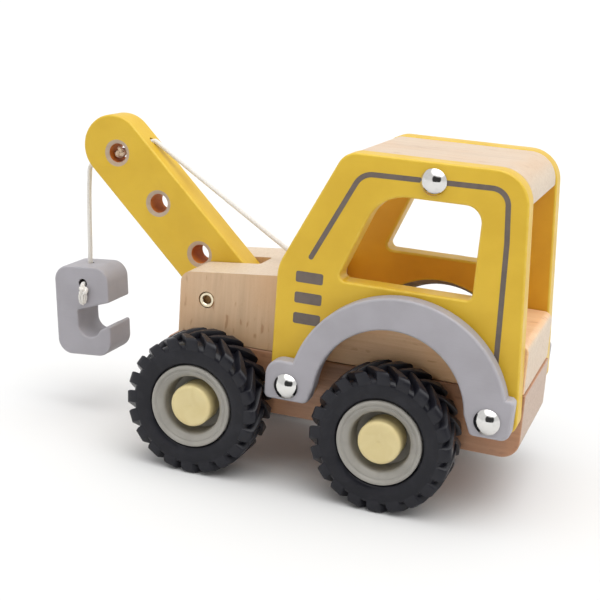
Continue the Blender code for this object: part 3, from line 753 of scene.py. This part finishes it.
def make_drop(cord):
    """The cord out of the boom's underside, and the long drop to the hook."""
    bow = [Vector((x, 0, z)) for x, z in DROP_BOW]
    hang = bow[0]
    join = Vector((hang.x - 0.03, 0, HANG_Z - 2.7))
    curl = smooth_route([
        cord_bore(-1.2) + KNOT_SHIFT, cord_bore(-3.4), cord_bore(-8.5), cord_bore(-BOOM_HALF_WIDTH),
        hang + Vector((0.5, 0, 2.2)), hang, join,
    ], BRAID_STEP)
    bm = bmesh.new()
    tube(bm, curl, CORD_RADIUS)
    curl_piece = make_piece("boom_cord_end", bm, cord, None, ["boom_cord_lower"], sharp=60)
    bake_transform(curl_piece)

    top = hook_place(HOOK_TOP_HOLE_X, HOOK_HEIGHT / 2)
    mouth = Vector((DROP_X, 0, top.z))
    route = smooth_route([
        join + Vector((0, 0, 0.4)), *bow[1:],
        mouth + Vector((0, 0, DROP_STRAIGHT)), mouth - Vector((0, 0, DROP_SINK)),
    ], BRAID_STEP)
    bm = bmesh.new()
    tube(bm, route, CORD_RADIUS)
    piece = make_piece(
        "drop_cord_braid", bm, cord, None, ["drop_cord_upper", "drop_cord_lower"], sharp=60
    )
    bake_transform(piece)


def make_boom_knot(cord):
    middle = cord_bore(0.0) + KNOT_SHIFT * 1.25
    bm = bmesh.new()
    turn = Matrix.Rotation(0.5, 3, "Y")
    tube(bm, knot_route(middle, 1.85, turn, 1.5), 0.92, sides=14, closed=True)
    make_piece("boom_knot_braid", bm, cord, "boom", ["boom_knot"], sharp=60)


def make_hook_cord(cord):
    """Through the hook's bore, out of the cross hole, a knot and a short frayed tail."""
    face = -HOOK_HALF_THICKNESS
    hole = hook_place(*HOOK_HOLE)
    top = hook_place(HOOK_TOP_HOLE_X, HOOK_HEIGHT / 2)
    route = smooth_route([
        top.lerp(hole, 0.05), top.lerp(hole, 0.50), top.lerp(hole, 0.75), hole + Vector((0, -0.6, 0.5)),
        hole + Vector((0, -2.5, 0)), Vector((hole.x, face / 2, hole.z)),
        Vector((hole.x + 0.3, face - 0.3, hole.z - 0.4)), Vector((hole.x + 1.0, face - 1.0, hole.z - 1.7)),
    ], BRAID_STEP)
    bm = bmesh.new()
    tube(bm, route, CORD_RADIUS)
    inside = make_piece("hook_cord_braid", bm, cord, "hook", ["hook_cord"], sharp=60)

    lump = Vector((hole.x + 1.3, face - 1.6, hole.z - 2.7))
    turn = Matrix.Rotation(0.35, 3, "X") @ Matrix.Rotation(2.4, 3, "Y")
    bm = bmesh.new()
    tube(bm, knot_route(lump, 1.50, turn, 1.2), 0.84, sides=14, closed=True)
    knot = make_piece("hook_knot_braid", bm, cord, "hook", ["hook_knot"], sharp=60)

    bm = bmesh.new()
    root = lump - Vector((0, 0.1, 0.7))
    for k in range(26):
        a = 2.4 * k
        out = math.sqrt((k + 0.5) / 26)
        spread = Vector((math.cos(a) * 1.75, math.sin(a) * 0.95, 0)) * out
        drop = 5.2 - 0.7 * out + 0.3 * math.cos(3.7 * k)
        tip = root + Vector((spread.x * 0.78, spread.y * 0.9, -drop))
        strand = smooth_route([root + spread * 0.8, root + spread * 1.05 - Vector((0, 0, 1.8)), tip], 0.45)
        tube(bm, strand, 0.29, sides=7, braided=False)
    tail = make_piece("hook_tail_strands", bm, cord, "hook", ["hook_tail"], sharp=60)
    return [inside, knot, tail]


# -------------------- body blocks

def bonnet_top(x):
    return 75.2 + 0.10 * x


def make_block(name, corners, wood, radius=0.6):
    low, high = span(name)
    bm = plate_mesh([(rounded(corners), round_edge(radius), ALL_ONE)], low.y, high.y)
    return make_piece(name + "_wood", bm, wood, "root", [name], weighted=True)


def make_chassis(wood):
    low, high = span("chassis_plank")
    make_block("chassis_plank", [
        (low.x, low.z, 3.0), (high.x, low.z, 7.0), (high.x, high.z, 0.5), (low.x, high.z, 3.0),
    ], wood)


def make_floor(wood):
    low, high = span("floor_block")
    make_block("floor_block", [
        (low.x, low.z, 0.5), (high.x, low.z, 0.5), (high.x, high.z, 3.2), (low.x, high.z, 1.0),
    ], wood)


def make_roof(wood):
    low, high = span("roof_block")
    make_block("roof_block", [
        (45.2, low.z, 1.5), (116.6, low.z, 1.2), (116.0, high.z, 10.5), (51.0, high.z, 5.0),
    ], wood)


SLOT_HALF_WIDTH = 6.8
SLOT_REAR = 9.3
SLOT_CORNER = 1.5


def slot_cutter(front):
    bm = bmesh.new()
    outline = rounded([
        (front - 10.0, -SLOT_HALF_WIDTH, 0.0), (SLOT_REAR, -SLOT_HALF_WIDTH, SLOT_CORNER),
        (SLOT_REAR, SLOT_HALF_WIDTH, SLOT_CORNER), (front - 10.0, SLOT_HALF_WIDTH, 0.0),
    ], 15)
    rings = [[bm.verts.new((p.x, p.y, z)) for p in outline] for z in (40.0, 95.0)]
    ring_faces(bm, *rings)
    for ring in rings:
        bm.faces.new(ring)
    return bm


def make_bonnet(wood):
    low, high = span("bonnet_block")
    corners = [
        (low.x, low.z, 0.9), (high.x, low.z, 0.9), (high.x, bonnet_top(high.x), 0.9),
        (low.x, bonnet_top(low.x), 4.5),
    ]
    square = [(0.0, 0.0, 0.0)]
    block = plate_mesh([(rounded(corners, 10), square, ALL_ONE)], low.y, high.y)
    pin_low, pin_high = span("boom_pivot_pin")
    pin_hole = (pin_high.x - pin_low.x) / 2 + 0.25
    block = cut_away(block, [
        slot_cutter(low.x),
        rod((PIVOT[0], low.y - 5, PIVOT[1]), (PIVOT[0], high.y + 5, PIVOT[1]), pin_hole, 40),
        rod(ANCHOR - Vector((0, 0, ANCHOR_DEPTH)), ANCHOR + Vector((0, 0, 5)), 1.6, 24),
    ])
    piece = make_piece("bonnet_block_wood", block, wood, "root", ["bonnet_block"], sharp=32)
    soften = piece.modifiers.new("soft_edges", "BEVEL")
    soften.width = 0.55 * MM
    soften.segments = 3
    soften.limit_method = "ANGLE"
    soften.angle_limit = math.radians(40)
    soften.harden_normals = True
    return piece


def keep_nodes(names, mat):
    """CAD nodes that stay as they are, in a better material."""
    for name in names:
        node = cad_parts[name]
        node.data.materials.clear()
        node.data.materials.append(mat)


# -------------------- cab sides

ARCH_CENTRE = (75.2, 40.0)
ARCH_RADIUS = 31.8
PANEL_BOTTOM = 34.7
FENDER_ARC_OUT = (78.2, 39.1, 41.3)
FENDER_ARC_IN = (75.4, 39.8, 28.3)
FENDER_FOOT_TOP = 50.0
FENDER_BOLTS = ((36.6, 40.6), (112.4, 41.1))
ROOF_BOLT = (83.3, 122.2)


def panel_outline():
    arch = arc(*ARCH_CENTRE, ARCH_RADIUS, math.pi, 0.0, 40)
    front, rear = ARCH_CENTRE[0] - ARCH_RADIUS, ARCH_CENTRE[0] + ARCH_RADIUS
    return rounded([
        (27.4, PANEL_BOTTOM, 2.0), (27.4, 84.0, 15.0), (50.0, 129.1, 8.0), (116.5, 129.1, 12.5),
        (122.3, PANEL_BOTTOM, 5.0), (rear, PANEL_BOTTOM, 1.2), *reversed(arch), (front, PANEL_BOTTOM, 1.2),
    ])


def window_outline():
    return rounded([(50.6, 81.8, 2.2), (64.3, 115.3, 15.0), (101.4, 115.3, 6.0), (100.8, 81.8, 2.0)])


def fender_outline():
    cx, cz, radius = FENDER_ARC_OUT
    rise = math.asin((FENDER_FOOT_TOP - cz) / radius)
    ix, iz, inner_radius = FENDER_ARC_IN
    drop = math.asin((42.0 - iz) / inner_radius)
    return rounded([
        (27.8, PANEL_BOTTOM, 2.0), (27.8, FENDER_FOOT_TOP, 6.0),
        *arc(cx, cz, radius, math.pi - rise, rise, 44),
        (121.2, FENDER_FOOT_TOP, 2.0), (120.8, PANEL_BOTTOM, 3.5), (106.6, PANEL_BOTTOM, 2.0),
        *arc(ix, iz, inner_radius, drop, math.pi - drop, 40), (44.8, PANEL_BOTTOM, 2.5),
    ])


def stripe_outline(half_width=0.95):
    """The painted line that follows the window: both sides of one smooth path."""
    path = rounded([
        (40.3, 89.1, 0), (57.0, 122.0, 7.0), (109.6, 122.6, 6.0), (111.0, 104.0, 20.0), (112.2, 52.0, 0),
    ], 5)
    left, right = [], []
    for i, here in enumerate(path):
        before = path[max(0, i - 1)]
        after = path[min(len(path) - 1, i + 1)]
        way = (after - before).normalized()
        normal = Vector((-way.y, way.x)) * half_width
        left.append(here + normal)
        right.append(here - normal)
    start = (path[0] - path[1]).normalized() * half_width
    across = Vector((-start.y, start.x))
    cap = [path[0] + across * math.cos(a) + start * math.sin(a) for a in np.linspace(0.3, math.pi - 0.3, 8)]
    return right + left[::-1] + (cap if (cap[0] - left[0]).length < (cap[-1] - left[0]).length else cap[::-1])


def bar_outline(z_low, z_high):
    return rounded([(35.0, z_low, 0.8), (45.6, z_low, 0.8), (45.6, z_high, 0.8), (35.0, z_high, 0.8)], 22)


BARS = ((79.1, 83.3), (71.2, 75.4), (63.3, 67.5))
PRINT_THICKNESS = 0.07


def make_side(word, side, yellow, grey, print_paint, chrome):
    """A cab side; yellow is (the paint outside, a deeper orange copy inside that paints in the cab's shade
    and yellow bounce light).
    """
    low, high = span(f"side_panel_{word}")
    outlines = [(panel_outline(), round_edge(0.9), ALL_ONE), (window_outline(), round_edge(1.0), ALL_ONE)]
    panel = plate_mesh(outlines, low.y, high.y, (0, 1) if side < 0 else (1, 0))
    make_piece(f"side_panel_{word}_paint", panel, yellow, "root", [f"side_panel_{word}"],
               weighted=True)
    face = side * max(abs(low.y), abs(high.y))
    layer = sorted((face, face + side * PRINT_THICKNESS))
    prints = [("line", stripe_outline())] + [(f"bar_{n}", bar_outline(*bar)) for n, bar in enumerate(BARS, 1)]
    for kind, outline in prints:
        bm = plate_mesh([(outline, flat_chamfer(0.03, 0.03), ALL_ONE)], *layer)
        make_piece(f"side_{kind}_{word}", bm, print_paint, "root")
    low, high = span(f"fender_{word}")
    fender = plate_mesh([(fender_outline(), round_edge(1.1), ALL_ONE)], low.y, high.y)
    make_piece(f"fender_{word}_paint", fender, grey, "root", [f"fender_{word}"], weighted=True)
    for end, bolt in zip(("front", "rear"), FENDER_BOLTS):
        make_bolt(f"fender_bolt_{word}_{end}", bolt, side, chrome)
    make_bolt(f"roof_bolt_{word}", ROOF_BOLT, side, chrome)


DOME_RADIUS = 4.8
SHANK_RADIUS = 1.5
DOME_HEIGHT = 2.4


def make_bolt(name, place, side, chrome):
    low, high = span(name)
    tip, crown = sorted((abs(low.y), abs(high.y)))
    skirt = crown - DOME_HEIGHT
    base = crown - 3.15
    ball = (DOME_RADIUS ** 2 + DOME_HEIGHT ** 2) / (2 * DOME_HEIGHT)
    reach = math.asin(DOME_RADIUS / ball)
    angles = [reach * i / 14 for i in range(15)]
    dome = [(ball * math.sin(a), crown - ball * (1 - math.cos(a))) for a in angles]
    rim = [(DOME_RADIUS, skirt - 0.3), (DOME_RADIUS - 0.25, base)]
    profile = [*dome, *rim, (SHANK_RADIUS, base), (SHANK_RADIUS, tip), (0, tip)]
    bm = bmesh.new()
    lathe(bm, profile, 48, place, side)
    make_piece(name + "_dome", bm, chrome, "root", [name])


# -------------------- boom and hook

def make_boom(yellow, chamfer_wood, drilled_wood_and_painted_bounce):
    low, high = span("boom")
    half = BOOM_HALF_WIDTH
    tip = [(BOOM_END + x, z) for x, z, _ in arc(0, 0, half, -math.pi / 2, math.pi / 2, 40)]
    heel = [(x, z) for x, z, _ in arc(0, 0, half, math.pi / 2, 3 * math.pi / 2, 40)]
    edge = [along_boom(u, n) for u, n in tip + heel]
    outlines = [(edge, round_edge(0.9), ALL_ONE)]
    for u in BOOM_HOLES:
        # Hole walls take the orange-red drilled-wood material, which includes painted bounce light from the
        # yellow paint.
        outlines.append((circle(*along_boom(u), BOOM_HOLE_RADIUS), flat_chamfer(1.6, 0.8), (1, 2)))
    outlines.append((circle(*PIVOT, PIVOT_BORE_RADIUS), round_edge(0.3, 2), ALL_ONE))
    bm = plate_mesh(outlines, low.y, high.y)
    bm = cut_away(bm, [rod(cord_bore(-20), cord_bore(20), CORD_BORE_RADIUS)])
    materials = [yellow, chamfer_wood, drilled_wood_and_painted_bounce]
    make_piece("boom_paint", bm, materials, "boom", ["boom"], weighted=True)


PIN_SOCKET_RADIUS = 1.7
PIN_SOCKET_DEPTH = 2.5


def make_pin(brass, socket):
    low, high = span("boom_pivot_pin")
    outer, reach = (high.x - low.x) / 2, high.y
    bore, bottom = PIN_SOCKET_RADIUS, high.y - PIN_SOCKET_DEPTH
    end = [
        (0, bottom), (bore - 0.3, bottom), (bore, bottom + 0.3), (bore, reach - 0.3), (bore + 0.3, reach),
        (outer - 0.35, reach), (outer, reach - 0.35),
    ]
    profile = end + [(radius, -y) for radius, y in reversed(end)]
    bm = bmesh.new()
    lathe(bm, profile, 48, PIVOT)
    # Faces inside the end sockets take the darker second material: painted shade in the bores.
    for face in bm.faces:
        middle = face.calc_center_median()
        inside = math.hypot(middle.x - PIVOT[0], middle.z - PIVOT[1]) < bore + 0.02
        face.material_index = 1 if inside else 0
    make_piece("boom_pivot_pin_metal", bm, [brass, socket], "root", ["boom_pivot_pin"])


def hook_outline():
    w, h = HOOK_WIDTH / 2, HOOK_HEIGHT / 2
    throat_x, throat_z, throat_r = 2.8, -6.0, 5.2
    corners = [
        (-w, -h, 6.5), (w, -h, 6.5), (w, -5.2, 1.0), (throat_x + throat_r, -7.8, 0.0),
        *arc(throat_x, throat_z, throat_r, math.radians(-20), -math.pi, 20),
        (throat_x - throat_r, 0.4, 0.8), (w, 4.4, 1.0), (w, h, 6.5), (-w, h, 6.5),
    ]
    return [hook_point(*point) for point in rounded(corners)]


def make_hook(grey, dark):
    low, high = span("hook")
    hole = circle(*hook_point(*HOOK_HOLE), HOOK_HOLE_RADIUS, 32)
    # The cross hole's wall takes the near-black second material: painted shade inside the hole.
    outlines = [(hook_outline(), round_edge(0.8), ALL_ONE), (hole, round_edge(0.35, 3), (0, 1))]
    bm = plate_mesh(outlines, low.y, high.y)
    top = hook_place(HOOK_TOP_HOLE_X, HOOK_HEIGHT / 2 + 5)
    bm = cut_away(bm, [rod(top, hook_place(*HOOK_HOLE), CORD_BORE_RADIUS)])
    make_piece("hook_paint", bm, [grey, dark], "hook", ["hook"], weighted=True)


# -------------------- wheels

LUGS = 20
TREAD_MIDDLE = 39.0  # y of the tyre's middle

# The lug's stations from the tread's middle out to the sidewall:
# (y from the middle, base radius, top radius, top y, half width, degrees ahead of the shoulder)
LUG_STATIONS = (
    (-1.2, 24.0, 26.6, -1.2, 0.7, 20.0),
    (1.2, 24.0, 27.0, 1.2, 1.1, 16.0),
    (3.8, 24.0, 27.0, 3.8, 1.6, 11.0),
    (6.2, 24.0, 27.0, 6.3, 2.0, 6.0),
    (7.6, 23.8, 26.95, 8.0, 2.3, 2.8),
    (8.5, 23.2, 26.4, 8.9, 2.4, 1.2),
    (8.9, 22.7, 25.5, 9.30, 2.4, 0.4),
    (9.1, 22.3, 24.2, 9.44, 2.4, 0.0),
    (9.25, 21.9, 22.8, 9.46, 2.3, 0.0),
)


def lug_sections(start, way, centre):
    """The cross sections of one lug: way is +1 for the outer half of the tread and -1 for the inner."""
    sections = []
    for y, base, top, top_y, half, ahead in LUG_STATIONS:
        shift = start + math.radians(ahead)
        chamfer = min(0.22, half * 0.25)
        corners = (
            (-half - 0.2, base, y), (-half, base + (top - base) * 0.88, y + (top_y - y) * 0.88),
            (-half + chamfer, top, top_y), (half - chamfer, top, top_y),
            (half, base + (top - base) * 0.88, y + (top_y - y) * 0.88), (half + 0.2, base, y),
        )
        section = []
        for across, radius, place in corners:
            a = shift + across / radius
            section.append((
                centre[0] + radius * math.cos(a), TREAD_MIDDLE + way * place, centre[1] + radius * math.sin(a)
            ))
        sections.append(section)
    return sections


def make_tyre(word, centre, side, mat):
    half = [
        (24.4, 0.0), (24.4, 3.5), (24.4, 6.5), (24.2, 7.5), (23.6, 8.6), (23.0, 9.15), (22.4, 9.35),
        (21.6, 9.43), (20.6, 9.45), (19.4, 9.40), (18.3, 9.22), (17.5, 9.0),
        (17.0, 8.75), (16.6, 8.4), (16.35, 7.9),
    ]
    far = [(r, TREAD_MIDDLE - y) for r, y in reversed(half[1:])]
    profile = [(r, TREAD_MIDDLE + y) for r, y in half] + far
    bm = bmesh.new()
    lathe(bm, profile, 120, centre, closed=True)
    pitch = 2 * math.pi / LUGS
    for k in range(LUGS):
        for way, stagger in ((1, 0.0), (-1, 0.5)):
            sections = lug_sections((k + stagger) * pitch, way, centre)
            # The lug tops' corners get the full edge lightening: partly wear, partly a painted highlight.
            loft(bm, sections, (0.0, 0.4, 1.0, 1.0, 0.4, 0.0))
    if side < 0:
        bmesh.ops.scale(bm, vec=(1, -1, 1), verts=bm.verts)
    make_piece(f"tyre_{word}_rubber", bm, mat, f"wheel_{word}", [f"tyre_{word}"], sharp=38)


def make_rim(word, centre, side, mat):
    profile = [
        (13.0, 35.0), (13.0, 30.7), (15.9, 30.7), (16.1, 31.2), (16.1, 47.4), (16.05, 47.9), (15.85, 48.2),
        (15.5, 48.3), (15.0, 48.25), (14.6, 48.05), (14.4, 47.75), (14.1, 47.62), (13.8, 47.7), (13.5, 47.6),
        (12.3, 46.9), (11.8, 46.5), (11.5, 45.9), (11.35, 44.5), (11.1, 39.4), (10.9, 38.8), (10.3, 38.5),
        (2.2, 38.5), (2.2, 27.8), (5.2, 27.8), (5.5, 28.1), (5.5, 35.0),
    ]
    # The outer lip gets the full edge lightening and the inner step a little: partly wear, partly a painted
    # highlight.
    wear_and_highlight = [1.0 if r > 14.9 and y > 48.1 else 0.3 if 13.4 < r < 13.9 and y > 47 else 0.0 for r, y in profile]
    bm = bmesh.new()
    lathe(bm, profile, 96, centre, side, closed=True, wear_and_highlight=wear_and_highlight)
    make_piece(f"rim_{word}_plastic", bm, mat, f"wheel_{word}", [f"rim_{word}"])


def make_cap(word, centre, side, mat):
    low, high = span(f"hub_cap_{word}")
    foot, face = sorted((abs(low.y), abs(high.y)))
    outer = (high.x - low.x) / 2
    profile = [
        (0, face - 0.42), (0.45, face - 0.40), (0.8, face - 0.24), (1.1, face - 0.20), (3.5, face - 0.12),
        (6.0, face - 0.02), (outer - 1.4, face), (outer - 0.8, face - 0.06), (outer - 0.35, face - 0.28),
        (outer - 0.1, face - 0.62), (outer, face - 1.1), (outer, foot), (2.1, foot), (2.1, foot + 5.4),
        (0, foot + 5.4),
    ]
    # The cap's rounded rim gets the edge lightening: partly wear, partly a painted highlight.
    wear_and_highlight = [0.0] * 5 + [0.2, 0.5, 1.0, 1.0, 0.6, 0.2] + [0.0] * 4
    bm = bmesh.new()
    lathe(bm, profile, 72, centre, side, wear_and_highlight=wear_and_highlight)
    make_piece(f"hub_cap_{word}_plastic", bm, mat, "root", [f"hub_cap_{word}"])


def make_axle(word, x, steel):
    low, high = span(f"axle_{word}")
    radius, reach = (high.x - low.x) / 2, high.y
    profile = [
        (0, reach), (radius - 0.3, reach), (radius, reach - 0.3), (radius, -reach + 0.3),
        (radius - 0.3, -reach), (0, -reach),
    ]
    bm = bmesh.new()
    lathe(bm, profile, 32, (x, (low.z + high.z) / 2))
    make_piece(f"axle_{word}_rod", bm, steel, "root", [f"axle_{word}"])


def make_wheels(tyre_rubber, rim_plastic, cap_plastic, steel):
    for end in ("front", "rear"):
        low, high = span(f"axle_{end}")
        centre = ((low.x + high.x) / 2, (low.z + high.z) / 2)
        make_axle(end, centre[0], steel)
        for word, side in (("left", -1), ("right", 1)):
            make_tyre(f"{end}_{word}", centre, side, tyre_rubber)
            make_rim(f"{end}_{word}", centre, side, rim_plastic)
            make_cap(f"{end}_{word}", centre, side, cap_plastic)


# -------------------- assembly

make_camera()
make_studio()

CORD = cotton("cotton_braid", (0.86, 0.84, 0.80), (0.70, 0.67, 0.62), (0.66, 0.60, 0.52))
# A browner, darker cord colour for the knot inside the boom's hole.
KNOT_CORD_BROWN = cotton("cotton_brown", (0.78, 0.64, 0.48), (0.52, 0.36, 0.22), (0.52, 0.32, 0.15))
hook_cord_pieces = make_hook_cord(CORD)
make_stay(CORD)
make_drop(CORD)
make_boom_knot(KNOT_CORD_BROWN)

UPRIGHT = (0, math.radians(90), 0)
# A brighter, warmer beech for the floor block: painted light on its sides seen in the wheel arches.
BEECH_FLOOR_LIT = beech("beech_floor_painted_light", (0.90, 0.60, 0.35), (0.76, 0.46, 0.245), fleck=0.5)
# Darker, redder beech for the chassis: partly the plank's own redder tone, partly painted shade under the
# fenders and body.
BEECH_RED_SHADED = beech("beech_red_painted_shade", (0.50, 0.275, 0.165), (0.34, 0.175, 0.10), fleck=0.4, sawn=(0.52, 0.385, 0.29))
BEECH_UPRIGHT = beech("beech_upright", (0.68, 0.475, 0.30), (0.60, 0.40, 0.24), UPRIGHT, 0.75)
BEECH_ROOF = beech("beech_roof", (0.66, 0.52, 0.385), (0.59, 0.445, 0.32), fleck=0.3)
BEECH_CHAMFER = beech("beech_chamfer", (0.50, 0.385, 0.28), (0.40, 0.295, 0.21), fleck=0.2)
# Saturated orange-red for the boom's hole walls: partly paint-stained bare wood, partly painted bounce light
# from the yellow paint.
DRILLED_AND_PAINTED_BOUNCE = paint("drilled_wood_and_painted_bounce", (0.60, 0.185, 0.010), (0.36, 0.085, 0.004), (0.60, 0.20, 0.02), 0.75)
YELLOW = paint("yellow_satin", (0.70, 0.45, 0.022), (0.655, 0.41, 0.018), (0.80, 0.60, 0.10), 0.42)
# A deeper orange copy of the yellow for the panels' inner faces: painted shade and yellow bounce light inside
# the cab.
YELLOW_PAINTED_SHADE_INSIDE = paint("yellow_inside_painted_shade", (0.72, 0.37, 0.016), (0.66, 0.33, 0.013), (0.76, 0.45, 0.05), 0.45)
GREY = paint("grey_satin", (0.38, 0.365, 0.395), (0.35, 0.335, 0.36), (0.45, 0.435, 0.46), 0.48)
# Near-black for the hook's cross hole walls: painted shade inside the hole.
HOLE_PAINTED_SHADE = paint("grey_inside_painted_shade", (0.10, 0.09, 0.09), (0.06, 0.05, 0.05), (0.2, 0.2, 0.2), 0.6)
PRINT = printed("grey_print", (0.145, 0.113, 0.095))
CHROME = metal("chrome_polish", (0.72, 0.71, 0.69), 0.03, 0.07)
BRASS = metal("pale_brass", (0.84, 0.74, 0.55), 0.25, 0.38)
# Darker brown for the pin's end sockets: painted shade down in the bores.
BRASS_SOCKET_PAINTED_SHADE = metal("brass_socket_painted_shade", (0.42, 0.27, 0.13), 0.45, 0.60)
STEEL = metal("drawn_steel", (0.55, 0.55, 0.56), 0.28, 0.40)

make_chassis(BEECH_RED_SHADED)
make_floor(BEECH_FLOOR_LIT)
make_roof(BEECH_ROOF)
make_bonnet(BEECH_UPRIGHT)
keep_nodes(["bonnet_dowel_1", "bonnet_dowel_2", "floor_dowel_1", "floor_dowel_2"], BEECH_UPRIGHT)
for side_word, side_sign in (("left", -1), ("right", 1)):
    make_side(side_word, side_sign, [YELLOW, YELLOW_PAINTED_SHADE_INSIDE], GREY, PRINT, CHROME)
make_boom(YELLOW, BEECH_CHAMFER, DRILLED_AND_PAINTED_BOUNCE)
make_pin(BRASS, BRASS_SOCKET_PAINTED_SHADE)
make_hook(GREY, HOLE_PAINTED_SHADE)
make_wheels(
    rubber(),
    plastic("rim_grey", (0.31, 0.295, 0.265), (0.27, 0.257, 0.23), 0.42),
    plastic("cap_cream", (0.70, 0.585, 0.30), (0.66, 0.54, 0.26), 0.42),
    STEEL,
)
